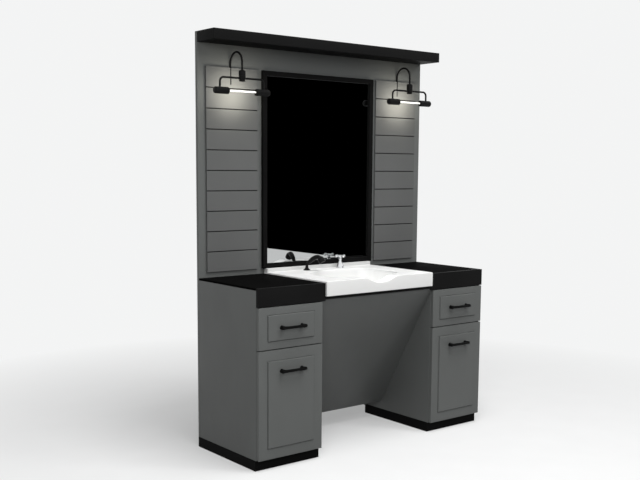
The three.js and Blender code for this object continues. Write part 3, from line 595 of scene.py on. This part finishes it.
@dataclass(frozen=True)
class Grained:
    """Moulded plastic or plain coated metal with a fine pebble grain."""

    name: str
    colour: Triple
    roughness: float
    grain: float = 0.12
    scale: float = 900.0
    specular: float = 0.4

    def make(self) -> Material:
        """Builds the material.

        Returns:
            The material.
        """
        mix = Recipe(self.name)
        wear = mix.noise(26.0, 5.0)
        worn = tuple(c * 1.35 + 0.001 for c in self.colour)
        return mix.set(
            Base_Color=mix.blend(wear.clipped(0.5, 0.8), self.colour, worn),
            Roughness=wear * 0.16 + (self.roughness - 0.08),
            Specular_IOR_Level=self.specular,
            Normal=mix.bump(mix.noise(self.scale, 2.0), self.grain, 0.4 * MM),
        )


@dataclass(frozen=True)
class PlainBoard:
    """Birch board: long grain lines along Y, in two tones."""

    name: str
    light: Triple
    dark: Triple

    def make(self) -> Material:
        """Builds the material.

        Returns:
            The material.
        """
        mix = Recipe(self.name)
        grain = mix.noise(26.0, 6.0, (6.0, 0.35, 6.0))
        streak = mix.noise(190.0, 3.0, (1.0, 0.06, 1.0))
        tone = (grain * 0.7 + streak * 0.3).clipped(0.35, 0.68)
        return mix.set(
            Base_Color=mix.blend(tone, self.light, self.dark),
            Roughness=streak * 0.2 + 0.45,
            Specular_IOR_Level=0.3,
            Normal=mix.bump(streak, 0.08, 0.5 * MM),
        )


@dataclass(frozen=True)
class Glow:
    """Lit frosted tube, a little dimmer in patches."""

    name: str
    colour: Triple
    strength: float

    def make(self) -> Material:
        """Builds the material.

        Returns:
            The material.
        """
        mix = Recipe(self.name)
        frost = mix.noise(60.0, 3.0).clipped(0.3, 0.7)
        return mix.set(
            Base_Color=(0.9, 0.9, 0.88, 1.0),
            Roughness=0.4,
            Emission_Color=mix.blend(frost, self.colour, scaled(self.colour, 0.94)),
            Emission_Strength=self.strength,
        )


class Finishes:
    """All finishes of the station, made once."""

    def __init__(self) -> None:
        """Makes each material."""
        boards, basin, canopy = (Span.of(node) for node in ("right_boards", "basin", "canopy"))
        rim = basin.hi[2] - UPSTAND
        ends = (boards.lo[0], boards.hi[0])
        black = (0.0075, 0.0075, 0.0075)
        self.grey = Lacquer("grey_lacquer", (0.1045, 0.1092, 0.1066)).make()
        self.plank = Grooves("grey_plank_lacquer", (0.1042, 0.106, 0.1051), boards.lo[1], ends).make()
        self.black = Lacquer("black_lacquer", black, 0.55, 0.04, 0.12).make()
        # The canopy's underside gets painted shade.
        self.canopy = Lacquer("black_canopy", black, 0.55, 0.04, 0.12, underside=canopy.lo[2]).make()
        self.frame = Lacquer("black_frame", (0.005, 0.005, 0.005), 0.5, 0.04, 0.12).make()
        self.counter = Lacquer("black_counter", (0.003, 0.003, 0.003), 0.6, 0.001, 0.15, 0.03).make()
        self.toe = Lacquer("black_plinth", (0.0035, 0.0035, 0.0035), 0.6, 0.03, 0.15).make()
        self.white = SolidSurface("white_basin", (0.722, 0.726, 0.722), basin.lo[1], rim).make()
        self.chrome = Metal("polished_chrome", (0.86, 0.87, 0.88), 0.05).make()
        self.steel = Metal("zinc_runner", (0.55, 0.56, 0.57), 0.3, True).make()
        self.silver = Silvering("mirror_silver", (0.56, 0.57, 0.57)).make()
        self.fitting = Grained("black_fitting", (0.0045, 0.0045, 0.0045), 0.5, specular=0.1).make()
        self.handle = Grained("black_pull", (0.0024, 0.0024, 0.0024), 0.5, specular=0.06).make()
        self.sprayer = Grained("black_sprayer", (0.0048, 0.0048, 0.0048), 0.42, 0.05, specular=0.12).make()
        self.bin = Grained("bin_plastic", (0.022, 0.022, 0.023), 0.55, 0.3, 500.0).make()
        self.board = PlainBoard("birch_board", (0.60, 0.47, 0.31), (0.47, 0.34, 0.20)).make()
        self.glow = Glow("lamp_glow", (1.0, 0.98, 0.92), 0.92).make()


# Light


@dataclass(frozen=True)
class SoftLight:
    """One soft area light, which neither the camera nor a reflection shows."""

    name: str
    place: Triple
    aim: Triple
    size: Pair
    power: float
    colour: Triple = (1.0, 1.0, 1.0)
    shape: LightShape = LightShape.ROUND

    def make(self) -> None:
        """Places the light and turns it towards its aim."""
        lamp = bpy.data.lights.new(self.name, "AREA")
        lamp.shape = self.shape.value
        lamp.size, lamp.size_y = self.size
        lamp.energy = self.power
        lamp.color = self.colour
        holder = bpy.data.objects.new(self.name, lamp)
        holder.location = self.place
        holder.rotation_euler = (Vector(self.aim) - Vector(self.place)).to_track_quat("-Z", "Y").to_euler()
        holder.visible_camera = False
        holder.visible_glossy = False
        SCENE.collection.objects.link(holder)


# Sub-assemblies


@dataclass
class Carcass:
    """Gables, counter, canopy and the other flat boards, with eased edges."""

    finishes: Finishes
    gable_ease: float = 1.2 * MM
    counter_ease: float = 0.5 * MM
    canopy_ease: float = 1.6 * MM

    def board(self, node: str, finish: Material, ease: float) -> None:
        """Replaces one plain board by one with edges eased by a radius."""
        span = Span.of(node)
        Shell().rounded_box(span.lo, span.hi, ease).build(node + "_eased", finish, STATION, (node,))

    def make(self) -> None:
        """Makes every board of the carcass, and finishes the solids that stay."""
        use = self.finishes
        for side in Side:
            self.board(f"{side}_outer_gable", use.grey, self.gable_ease)
            self.board(f"{side}_inner_gable", use.grey, self.gable_ease)
            self.board(f"{side}_apron", use.black, self.counter_ease)
            self.board(f"{side}_countertop", use.counter, self.counter_ease)
        self.board("canopy", use.canopy, self.canopy_ease)
        kept = {
            use.grey: ["back_panel", "knee_panel"],
            use.plank: pair("boards"),
            use.black: ["sink_front_rail"],
            use.frame: [f"mirror_frame_{part}" for part in ("top", "bottom", *Side)],
            use.toe: pair("plinth"),
            use.board: ["sink_rear_rail", *pair("bottom_board", "drawer_box")],
            use.steel: pair("drawer_runner_outer", "drawer_runner_inner", "hamper_pivot"),
            use.bin: pair("hamper_bin"),
            use.chrome: ["waste_trap", "drain_strainer"],
            use.silver: ["mirror_glass"],
        }
        for finish, nodes in kept.items():
            for node in nodes:
                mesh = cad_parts[node].data
                mesh.materials.clear()
                mesh.materials.append(finish)
                LOG.info("finish %s on %s", finish.name, node)


@dataclass
class Front:
    """One drawer or hamper front: a slab with eased edges and a raised field with a coved bevel."""

    finishes: Finishes
    side: Side
    kind: Kind
    field_edge: float
    field_side: float = 49 * MM
    bevel: float = 7 * MM
    rise: float = 5 * MM
    sink: float = 2.2 * MM
    heel: float = 0.0
    ease: float = 0.5 * MM
    shy: float = 0.9 * MM

    def make(self) -> None:
        """Builds the front from rectangles: each row is the slab's outline drawn in by an inset, at a depth.

        The bevel dips by a squared sine, then climbs by a smooth step across its width, and the slab's edge
        follows a quarter circle. The heel is a bevel under the rear lower edge, for a front that tilts.
        """
        node = f"{self.side}_{self.kind}_front"
        span = Span.of(node)
        face = span.lo[1] + self.rise
        inward, back = self.ease * quarter(5).T
        edge = columns(inward, 0, face + back)
        step = np.linspace(0, 1, 19)
        climb = self.rise * smooth((step - 0.32) / 0.36)
        climb -= self.sink * np.sin(math.pi * np.clip(step / 0.5, 0, 1)) ** 2
        cove = columns(self.bevel * step, 1, face - climb)
        rows = np.vstack([[(0.0, 0, span.hi[1])], edge, cove])
        inset = self.shy + rows[:, :1] + rows[:, 1:2] * [self.field_side, self.field_edge]
        half = span.size[[0, 2]] / 2 - inset
        corner = span.mid[[0, 2]] + half[:, None] * CORNERS
        grid = columns(corner[..., 0], rows[:, 2:], corner[..., 1])
        grid = np.concatenate([grid[:1], grid])
        grid[0, :2, 2] += self.heel
        grid[1, :2, 1] -= self.heel
        shut = grid[[0, -1]].mean(axis=1, keepdims=True) + 0 * grid[[0, -1]]
        whole = np.concatenate([shut[:1], grid, shut[1:]])
        body = f"{self.side}_{self.kind}"
        Shell().add(whole).build(node + "_panel", self.finishes.grey, body, (node,), sharp=25.0)


@dataclass
class Pull:
    """One bow pull: a bar that swells to its rounded ends, on two posts with flared feet."""

    finishes: Finishes
    side: Side
    kind: Kind
    bar: float = 7.0 * MM
    end: float = 11.2 * MM
    post: float = 8.8 * MM
    spacing: float = 120 * MM
    trim: float = 2.8 * MM
    bow: float = 4.6 * MM

    def make(self) -> None:
        """Builds the bar and posts.

        Along the bar, t runs from -1 to 1: the axis bows by 1 minus t squared, the radius grows from the
        middle with the fourth and tenth powers of t, and its ends close on half ellipses.
        """
        node = f"{self.side}_{self.kind}_pull"
        span = Span.of(node)
        half = span.size[0] / 2 - self.trim
        back, height = span.hi[1], span.mid[2]
        axis_y = span.lo[1] + self.bar + self.bow
        nose = self.end / half
        tip = nose * quarter(8)[:, 0]
        t = np.concatenate([tip - 1, np.linspace(-1 + nose, 1 - nose, 40)[1:-1], 1 - tip[::-1]])
        swell = self.bar + (self.end - self.bar) * (0.4 * t**4 + 0.6 * t**10)
        round_off = np.sqrt(np.clip(1 - np.clip((np.abs(t) - 1 + nose) / nose, 0, 1) ** 2, 0, 1))
        path = columns(span.mid[0] + half * t, axis_y - self.bow * (1 - t**2), height)
        shell = Shell().add(swept(path, swell * round_off, ALONG_Z))
        length = back - axis_y
        flare = np.array([(0, 0), (1.2, 0), (1.18, 0.06), (1.05, 0.16), (1, 0.3), (1, 0.8), (1.1, 1), (0, 1)])
        profile = flare * [self.post, -length]
        for hand in (-1, 1):
            foot = np.array([span.mid[0] + hand * self.spacing / 2, back, height])
            shell.add(turned(profile, foot, Axis.Y, 24))
        shell.build(node + "_bow", self.finishes.handle, f"{self.side}_{self.kind}", (node,))


@dataclass
class Basin:
    """White basin: deck with a neck dip, rounded bowl, front beam and rear upstand, as one closed surface."""

    finishes: Finishes
    rim_ease: float = 6 * MM
    edge_ease: float = 3 * MM
    upstand: float = UPSTAND
    upstand_depth: float = 32 * MM
    deck: float = 22 * MM
    wall: float = 10 * MM
    drain: float = 19.3 * MM
    dip: float = 28 * MM
    dip_half: float = 122 * MM
    draft: float = 12 * MM
    cove: float = 24 * MM
    square: float = 3.636

    def outline(self, inset: float, span: Span, beam_back: float) -> Array:
        """Rectangle of the deck drawn in by an inset, with close points along its front.

        Args:
            inset: distance from the deck's edge.
            span: box of the basin's solid.
            beam_back: place along Y of the front beam's rear face.

        Returns:
            Points in order round the rectangle, each as (x, y).
        """
        lo, hi = span.lo[:2] + inset, span.hi[:2] - inset
        along = np.linspace(0, 1, 80, endpoint=False)
        beam = (beam_back - lo[1]) / (hi[1] - lo[1])
        behind = np.linspace(beam, 1, 22, endpoint=False)[1:]
        up = np.concatenate([np.linspace(0, beam, 6), [beam + 1e-4], behind])
        x, y = lo[0] + (hi[0] - lo[0]) * along, lo[1] + (hi[1] - lo[1]) * up
        rear, left = columns(lo[0] + hi[0] - x, hi[1]), columns(lo[0], lo[1] + hi[1] - y)
        return np.vstack([columns(x, lo[1]), columns(hi[0], y), rear, left])

    def make(self) -> None:
        """Builds the basin as a closed ring of loops.

        The loops run from the drain over the bowl's floor, up a quarter-circle cove and the drafted wall, a
        superellipse in plan, round the rim, out over the deck to its rectangle, down the skirt and back under
        the bowl. The neck dip lowers the deck's front by half of 1 plus the cosine of the place across it.
        """
        span = Span.of("basin")
        bowl = Span.of("basin_bowl")
        rim = span.hi[2] - self.upstand
        low = bowl.lo[2]
        floor = low + self.wall
        half = bowl.size[:2] / 2 - self.wall + self.draft * self.deck / (rim - low - self.cove / 2)
        centre = bowl.mid[:2]
        under_deck = rim - self.deck
        beam_back = centre[1] - half[1] - self.wall
        edge = self.outline(0.0, span, beam_back)
        away = edge - centre
        unit = away / (np.sum(np.abs(away / half) ** self.square, axis=1) ** (1 / self.square))[:, None]
        ray = away / np.linalg.norm(away, axis=1, keepdims=True)
        rows: list[tuple[Array, Array]] = []

        def level(points: Array, z: "Array | float") -> None:
            """Keeps one loop of points at a height."""
            rows.append((points, np.broadcast_to(z, len(points)).astype(float)))

        def ring(inset: float, grow: float = 0.0) -> Array:
            """Loop of the bowl's plan, drawn in by an inset or grown by a wall."""
            return centre + unit * (1 - inset / half) + grow * ray

        inner = ring(self.draft + self.cove)
        for share in np.linspace(0, 1, 7):
            level(centre + self.drain * ray + share * (inner - centre - self.drain * ray), floor)
        for inward, climb in self.cove * quarter(8)[::-1][1:]:
            level(ring(self.draft + inward), floor + climb)
        top = rim - self.rim_ease
        for share in np.linspace(0, 1, 10)[1:]:
            level(ring(self.draft * (1 - share)), floor + self.cove + share * (top - floor - self.cove))
        wall_rows = len(rows)
        for outward, drop in self.rim_ease * quarter(7)[1:]:
            level(ring(0.0, outward), rim - drop)
        near, far = rows[-1][0], self.outline(self.edge_ease, span, beam_back)
        for share in np.linspace(0, 1, 8)[1:]:
            level(near + share * (far - near), rim)
        for drop, inward in self.edge_ease * quarter(5)[1:]:
            level(self.outline(inward, span, beam_back), rim - drop)
        top_rows = len(rows)
        under = np.where(edge[:, 1] <= beam_back + 1e-6, span.lo[2], under_deck)
        level(edge, under + self.edge_ease / 2)
        skirt = self.outline(self.edge_ease / 2, span, beam_back)
        level(skirt, under)
        back = columns(skirt[:, 0], np.maximum(skirt[:, 1], beam_back))
        level(back, under)
        level(back, under_deck)
        for share in np.linspace(0, 1, 8):
            level(ring(self.draft * share, self.wall), under_deck + share * (low + self.cove - under_deck))
        level(ring(self.draft + self.cove, self.wall), low)
        level(centre + self.drain * ray, low)

        plan = np.stack([points for points, _ in rows])
        height = np.stack([z for _, z in rows])
        across = np.clip(plan[..., 0] / self.dip_half, -1, 1)
        sink = self.dip * (0.5 + 0.5 * np.cos(math.pi * across * np.abs(across) ** 0.3))
        sink = np.where(plan[..., 1] < centre[1], sink, 0)
        height[wall_rows:top_rows] -= sink[wall_rows:top_rows]
        height[:wall_rows] = np.minimum(height[:wall_rows], top - sink[:wall_rows])
        below = slice(top_rows + 3, None)
        height[below] = np.minimum(height[below], rim - self.edge_ease - sink[below])
        shell = Shell().add(np.concatenate([plan, height[..., None]], axis=-1), tube=True)
        lo = np.array([span.lo[0], span.hi[1] - self.upstand_depth, rim - self.edge_ease * 2])
        shell.rounded_box(lo, span.hi, self.edge_ease)
        shell.build("basin_cast", self.finishes.white, STATION, ("basin", "basin_bowl"))


@dataclass
class Fixtures:
    """Mixer with a cross handle, and the hand sprayer in its holder."""

    finishes: Finishes
    arm: float = 28 * MM
    ball: float = 7.5 * MM
    turn: float = math.radians(17.5)
    reach: float = 93 * MM
    rise: float = 62 * MM
    neck: float = 7.2 * MM
    swell: float = 5.2 * MM
    nod: float = math.pi / 5
    flange: float = 4 * MM
    spindle: float = 4 * MM

    def mixer(self) -> None:
        """Builds the mixer's bell-shaped body: the radius falls from foot to neck along a smooth step."""
        span = Span.of("mixer_body")
        foot, neck, tall = span.size[0] / 2 + self.flange, 8.6 * MM, 50 * MM
        step = np.linspace(0, 1, 18)
        fall = 1 - smooth(step**0.8)
        waist = columns(neck + (foot * 0.96 - neck) * fall, 4 * MM + step * (tall - 12 * MM))
        profile = np.vstack([
            [(0, 0), (foot, 0), (foot, 2.4 * MM), (foot * 0.98, 3.6 * MM)], waist,
            [(neck, tall - 7 * MM), (neck * 1.2, tall - 5.5 * MM), (neck * 1.2, tall - 1 * MM), (neck, tall),
             (self.spindle, tall), (self.spindle, span.size[2]), (0, span.size[2])],
        ])
        Shell().add(turned(profile, span.foot, sides=48)).build(
            "mixer_body_bell", self.finishes.chrome, STATION, ("mixer_body",))

    def handle(self) -> None:
        """Builds the cross handle: a domed hub and four arms that swell to ball ends."""
        span = Span.of("mixer_handle")
        hub, tall, bore = 10 * MM, 20 * MM, 4.2 * MM
        profile = np.array([(bore, 0), (hub * 0.92, 0), (hub, 1 * MM), (hub, tall * 0.7),
                            (hub * 0.94, tall * 0.8), (hub * 0.74, tall * 0.86), (hub * 0.7, tall * 0.93),
                            (hub * 0.5, tall * 0.98), (0, tall), (0, tall * 0.55), (bore, tall * 0.55)])
        shell = Shell().add(turned(profile, span.foot), tube=True)
        t = np.linspace(0, 1, 34)
        run = t * (self.arm + self.ball)
        bulge = np.sqrt(np.clip(1 - ((run - self.arm) / self.ball) ** 2, 0, 1)) * self.ball
        stem = (4.2 + 0.6 * t) * MM * (run < self.arm)
        radius = np.maximum(bulge, stem)
        for angle in loop(4):
            way = np.array([math.cos(angle), math.sin(angle), 0.0])
            path = span.foot + 0.7 * tall * ALONG_Z + run[:, None] * way
            shell.add(swept(path[6:], radius[6:], ALONG_Z, 20))
        shell.build("mixer_cross_handle", self.finishes.chrome, "mixer_lever", ("mixer_handle",))

    def holder(self) -> None:
        """Builds the holder: a flared foot that runs up to a neck with a rolled mouth."""
        span = Span.of("sprayer_holder")
        foot, neck, tall, bore = span.size[0] / 2, 7.6 * MM, span.size[2], 5.0 * MM
        step = np.linspace(0, 1, 14)
        fall = (1 - step) ** 2.6
        flare = columns(neck + (foot * 0.97 - neck) * fall, 2.6 * MM + step * (tall - 6 * MM))
        profile = np.vstack([
            [(0, 0), (foot, 0), (foot, 1.8 * MM)], flare,
            [(neck + 0.5 * MM, tall - 2 * MM), (neck, tall), (bore, tall)],
            [(bore, 0.3 * tall), (0, 0.3 * tall)],
        ])
        Shell().add(turned(profile, span.foot)).build(
            "sprayer_holder_flared", self.finishes.sprayer, STATION, ("sprayer_holder",))

    def sprayer(self) -> None:
        """Builds the hand sprayer: a bar along a cubic curve whose radius swells from the neck to the head.

        The curve is a Bezier: the four points weighted by the cubic binomials of s.
        """
        holder = Span.of("sprayer_holder")
        lift = holder.size[2]
        root = holder.foot + lift * ALONG_Z
        knots = np.array([(0, 8.5 * MM), (0.28 * self.reach, 0.8 * self.rise - lift),
                          (0.7 * self.reach, 1.56 * self.rise - lift), (self.reach, self.rise - lift)])
        s = np.linspace(0, 1, 40)[:, None]
        weights = np.hstack([(1 - s) ** 3, 3 * s * (1 - s) ** 2, 3 * s**2 * (1 - s), s**3])
        curve = weights @ knots
        way = np.array([math.sin(self.turn), -math.cos(self.turn), 0.0])
        path = root + curve[:, :1] * way + curve[:, 1:] * ALONG_Z
        radius = self.neck + self.swell * smooth(s[:, 0] / 0.4)
        across = np.array([math.cos(self.turn), math.sin(self.turn), 0.0])
        shell = Shell().add(swept(path, radius, across, shut=True))
        foot = np.array([(0, -17.5), (4.7, -17.5), (4.7, 0.4), (7.6, 0.4), (8, 1.6), (7.8, 4), (7.4, 8),
                         (6, 11.5), (3, 14), (0, 14.6)]) * MM
        shell.add(turned(foot, root))
        head = np.array([(0, 18), (6, 17.4), (11, 15.4), (14.8, 11.8), (17, 6.5), (18.3, 0), (18.9, -7),
                         (19, -12), (18.6, -15), (17.4, -16.6), (15.6, -17), (15.2, -16), (0, -15.4)]) * MM
        tilt = np.array(Matrix.Rotation(self.turn, 3, "Z") @ Matrix.Rotation(-self.nod, 3, "X"))
        shell.add(turned(head, np.zeros(3)) @ tilt.T + path[-1])
        nipple = np.array([(0, -16.9), (0.7, -16.7), (0.9, -15.2), (0, -15.2)]) * MM
        for circle, count in ((0.0, 1), (4.2, 6), (8.4, 12), (12.4, 18)):
            for angle in loop(count):
                spot = circle * MM * np.array([math.cos(angle), math.sin(angle), 0.0])
                shell.add(turned(nipple, spot, sides=8) @ tilt.T + path[-1])
        shell.build("hand_sprayer_arched", self.finishes.sprayer, "sprayer", ("hand_sprayer",))

    def make(self) -> None:
        """Makes all fixtures."""
        self.mixer()
        self.handle()
        self.holder()
        self.sprayer()


@dataclass
class Lamp:
    """One lamp: arched arm with a socket, swivelling yoke, two end caps and a lit tube."""

    finishes: Finishes
    side: Side
    tube: float = 5 * MM
    bar: float = 5 * MM
    corner: float = 22 * MM
    spigot: float = 14 * MM
    hub: float = 27 * MM
    bar_raise: float = 15.5 * MM
    arm_end: float = 24 * MM
    play: float = 0.3 * MM
    sleeve: float = 0.4 * MM
    slim: float = 1.1 * MM
    strip: Pair = (0.15, 0.14)
    strip_way: Triple = (0, 1.0, 0.08)
    strip_colour: Triple = (1.0, 0.95, 0.82)
    power: float = 0.84

    def arm(self) -> None:
        """Builds the arm: a stem, a half circle and a drop, then the socket's turned profile."""
        node = f"{self.side}_lamp_arm"
        span = Span.of(node)
        yoke = Span.of(f"{self.side}_lamp_yoke")
        x, head, _ = yoke.mid
        stem = span.hi[1] - self.tube
        bend = (stem - head) / 2
        top = span.hi[2] - self.tube
        turn = np.linspace(0, math.pi, 40)
        arch = columns(x, (stem + head) / 2 + bend * np.cos(turn), top - bend + bend * np.sin(turn))
        socket = yoke.hi[2] - self.spigot + self.play
        foot = [(x, stem, span.lo[2]), (x, stem, (span.lo[2] + top - bend) / 2)]
        path = np.vstack([foot, arch, [(x, head, socket + self.arm_end)]])
        shell = Shell().add(swept(path, self.tube, ALONG_X, shut=True))
        profile = np.array([(6.2, 14.3), (6.2, 0), (16.4, 0), (17, 0.7), (17, 21.5), (16.6, 23.2),
                            (14.6, 25.6), (11.5, 27.4), (8.6, 28.6), (7.6, 29), (0, 29), (0, 14.3)]) * MM
        shell.add(turned(profile, np.array([x, head, socket])), tube=True)
        shell.build(node + "_arched", self.finishes.fitting, STATION, (node,))

    def yoke(self) -> None:
        """Builds the yoke: a bar bent down at both ends, and its turned hub."""
        node = f"{self.side}_lamp_yoke"
        span = Span.of(node)
        x, y, _ = span.mid
        cap_top = Span.of(f"{self.side}_lamp_cap_outer").hi[2]
        half = span.size[0] / 2 - self.bar
        base = span.hi[2] - self.spigot - self.hub
        bar_z = base + self.bar_raise
        low = cap_top + self.play
        inset, drop = self.corner * quarter(10).T
        leg = np.vstack([[(half, y, low)], columns(half - inset, y, bar_z - drop)])
        path = np.vstack([leg * [-1, 1, 1], leg[::-1]]) + x * ALONG_X
        shell = Shell().add(swept(path, self.bar, ALONG_Y, shut=True))
        profile = np.array([(0, 0), (14.2, 0), (15, 0.8), (15, 8.4), (14.4, 9), (16.4, 9), (17, 9.6),
                            (17, 26.4), (16.4, 27), (6, 27), (6, 41), (0, 41)]) * MM
        shell.add(turned(profile, np.array([x, y, base])))
        shell.build(node + "_bent", self.finishes.fitting, f"{self.side}_lamp_head", (node,))

    def cap(self, end: End) -> None:
        """Builds one end cap: a domed nose, a barrel with a fine ring and a mouth for the tube.

        Args:
            end: end that it closes.
        """
        node = f"{self.side}_lamp_cap_{end}"
        box = Span.of(node)
        inward = math.copysign(1.0, Span.of(f"{self.side}_lamp_yoke").mid[0] - box.mid[0])
        long, radius = box.size[0], box.size[1] / 2
        hole = Span.of(f"{self.side}_lamp_tube").size[1] / 2 + self.sleeve
        inset, drop = quarter(9).T
        dome, lip, depth = 10 * MM, 5 * MM, 10.3 * MM
        ditch = radius - 0.7 * MM
        nose = columns(radius - dome * drop, dome * inset)
        ring = [(radius, long * 0.72), (ditch, long * 0.73), (ditch, long * 0.75), (radius, long * 0.76)]
        mouth = columns(radius - lip * inset, long - lip * drop)
        seat = [(hole, long), (hole, long - depth), (0, long - depth)]
        profile = np.vstack([[(0, 0)], nose, ring, mouth, seat])
        profile[:, 1] *= inward
        start = box.mid - inward * long / 2 * ALONG_X
        Shell().add(turned(profile, start, Axis.X)).build(
            node + "_turned", self.finishes.fitting, f"{self.side}_lamp_head", (node,))

    def lit(self) -> None:
        """Builds the lit tube, and the light that it casts on the boards behind it."""
        node = f"{self.side}_lamp_tube"
        span = Span.of(node)
        glass, long, bead = span.size[1] / 2 - self.slim, span.size[0], 1.5 * MM
        end = glass * 0.7
        profile = np.array([(0, 0), (end, 0), (glass, bead), (glass, long - bead), (end, long), (0, long)])
        Shell().add(turned(profile, span.mid - long / 2 * ALONG_X, Axis.X)).build(
            node + "_lit", self.finishes.glow, f"{self.side}_lamp_head", (node,))
        place = span.mid + glass * ALONG_Y
        SoftLight(node + "_cast", tuple(place), tuple(place + self.strip_way), self.strip, self.power,
                  self.strip_colour, LightShape.STRIP).make()

    def make(self) -> None:
        """Makes the whole lamp."""
        self.arm()
        self.yoke()
        for end in End:
            self.cap(end)
        self.lit()


# Stage


@dataclass
class Studio:
    """Camera, pale floor, soft light, and a dark card that only reflections see, standing in for shade."""

    place: Triple = (-3.202388, -3.79359, 1.426669)
    azimuth: float = -38.389
    elevation: float = 7.036
    roll: float = 0.387
    sensor: float = 36.0
    focal: float = 52.849575
    shift: float = 0.0703125
    pale: Triple = (0.90, 0.905, 0.905)
    wash: float = 0.3
    fade: Pair = (1.2, 3.2)
    reach: float = 40.0
    card_x: float = 6.57
    card_y: Pair = (-3.5, -13.0)
    card_top: float = 5.0
    ambient: float = 0.25
    boxes: tuple[SoftLight, ...] = (
        SoftLight("front_right_box", (3.2, -4.6, 4.2), (0, 0, 0.9), (1.4, 1.4), 80.0),
        SoftLight("overhead_box", (0.0, -1.7, 5.0), (0, -0.3, 0.8), (3.6, 3.6), 244.0),
        SoftLight("front_left_box", (-3.4, -3.4, 2.6), (0, 0, 0.9), (1.4, 1.4), 83.0),
    )

    def camera(self) -> None:
        """Places the camera by its azimuth, elevation and roll."""
        az, el, roll = (math.radians(v) for v in (self.azimuth, self.elevation, self.roll))
        lens = bpy.data.cameras.new("view")
        lens.sensor_width = self.sensor
        lens.lens = self.focal
        lens.shift_y = self.shift
        lens.clip_end = 100.0
        eye = bpy.data.objects.new("view", lens)
        turn = Matrix.Rotation(az, 4, "Z") @ Matrix.Rotation(math.pi / 2 - el, 4, "X")
        eye.matrix_world = Matrix.Translation(self.place) @ turn @ Matrix.Rotation(roll, 4, "Z")
        SCENE.collection.objects.link(eye)
        SCENE.camera = eye

    def sheet(self, name: str, corners: list[Triple], finish: Material) -> bpy.types.Object:
        """One flat stage sheet.

        Args:
            name: name of the sheet.
            corners: its corners in order.
            finish: its material.

        Returns:
            The sheet.
        """
        mesh = bpy.data.meshes.new(name)
        mesh.from_pydata(corners, [], [tuple(range(len(corners)))])
        mesh.materials.append(finish)
        made = bpy.data.objects.new(name, mesh)
        SCENE.collection.objects.link(made)
        return made

    def floor(self) -> None:
        """Pale floor that takes the shadow near the station and fades to the backdrop's white further out."""
        mix = Recipe("pale_floor")
        shown = mix.shown()
        grain = mix.noise(5.0, 4.0).clipped(0.3, 0.7)
        pale = mix.blend(grain, (0.73, 0.732, 0.732), (0.75, 0.752, 0.752))
        mix.set(Base_Color=mix.blend(shown, (0.25, 0.25, 0.25), pale), Roughness=0.8, Specular_IOR_Level=0.0)
        distance = mix.node("VectorMath", {"operation": "LENGTH"}, {0: mix.place}, 1)
        far = distance.clipped(*self.fade) * (1 - self.wash) + self.wash
        white = mix.node("Emission", {}, {"Color": (*self.pale, 1.0), "Strength": 1.0})
        shader = Term(mix, mix.shader.outputs[0])
        mix.show(mix.node("MixShader", {}, {0: far * shown, 1: shader, 2: white}))
        self.sheet("floor", [(x * self.reach, y * self.reach, 0) for x, y in CORNERS], mix.owner)

    def card(self) -> None:
        """Dark card at the far end of the floor, which only reflections show: it stands in for shade, so that
        the mirror reflects dark.
        """
        mix = Recipe("dark_card")
        mix.set(Base_Color=(0.0, 0.0, 0.0, 1.0), Roughness=1.0, Specular_IOR_Level=0.0)
        (near, far), x, top = self.card_y, self.card_x, self.card_top
        corners = [(x, near, 0), (x, far, 0), (x, far, top), (x, near, top)]
        made = self.sheet("dark_card", corners, mix.owner)
        for ray in ("camera", "diffuse", "shadow", "transmission", "volume_scatter"):
            setattr(made, "visible_" + ray, False)

    def light(self) -> None:
        """Even soft world light, and the soft boxes."""
        mix = Recipe("soft_world", "worlds")
        SCENE.world = mix.owner
        ambient = mix.node("Background", {}, {"Color": (1.0, 1.0, 1.0, 1.0), "Strength": self.ambient})
        backdrop = mix.node("Background", {}, {"Color": (*self.pale, 1.0), "Strength": 1.0})
        mix.show(mix.node("MixShader", {}, {0: mix.shown(), 1: ambient, 2: backdrop}))
        for box in self.boxes:
            box.make()

    def make(self) -> None:
        """Makes the whole stage."""
        bpy.context.scene.view_settings.view_transform = "Standard"
        self.camera()
        self.floor()
        self.card()
        self.light()


def main() -> None:
    """Builds the stage, then each sub-assembly of the station."""
    logging.basicConfig(level=logging.INFO, format="%(message)s")
    Studio().make()
    finishes = Finishes()
    Carcass(finishes).make()
    for side in Side:
        Front(finishes, side, Kind.DRAWER, field_edge=36 * MM).make()
        Front(finishes, side, Kind.HAMPER, field_edge=50 * MM, heel=12.5 * MM).make()
        Pull(finishes, side, Kind.DRAWER).make()
        Pull(finishes, side, Kind.HAMPER).make()
        Lamp(finishes, side).make()
    Basin(finishes).make()
    Fixtures(finishes).make()


if __name__ == "__main__":
    main()
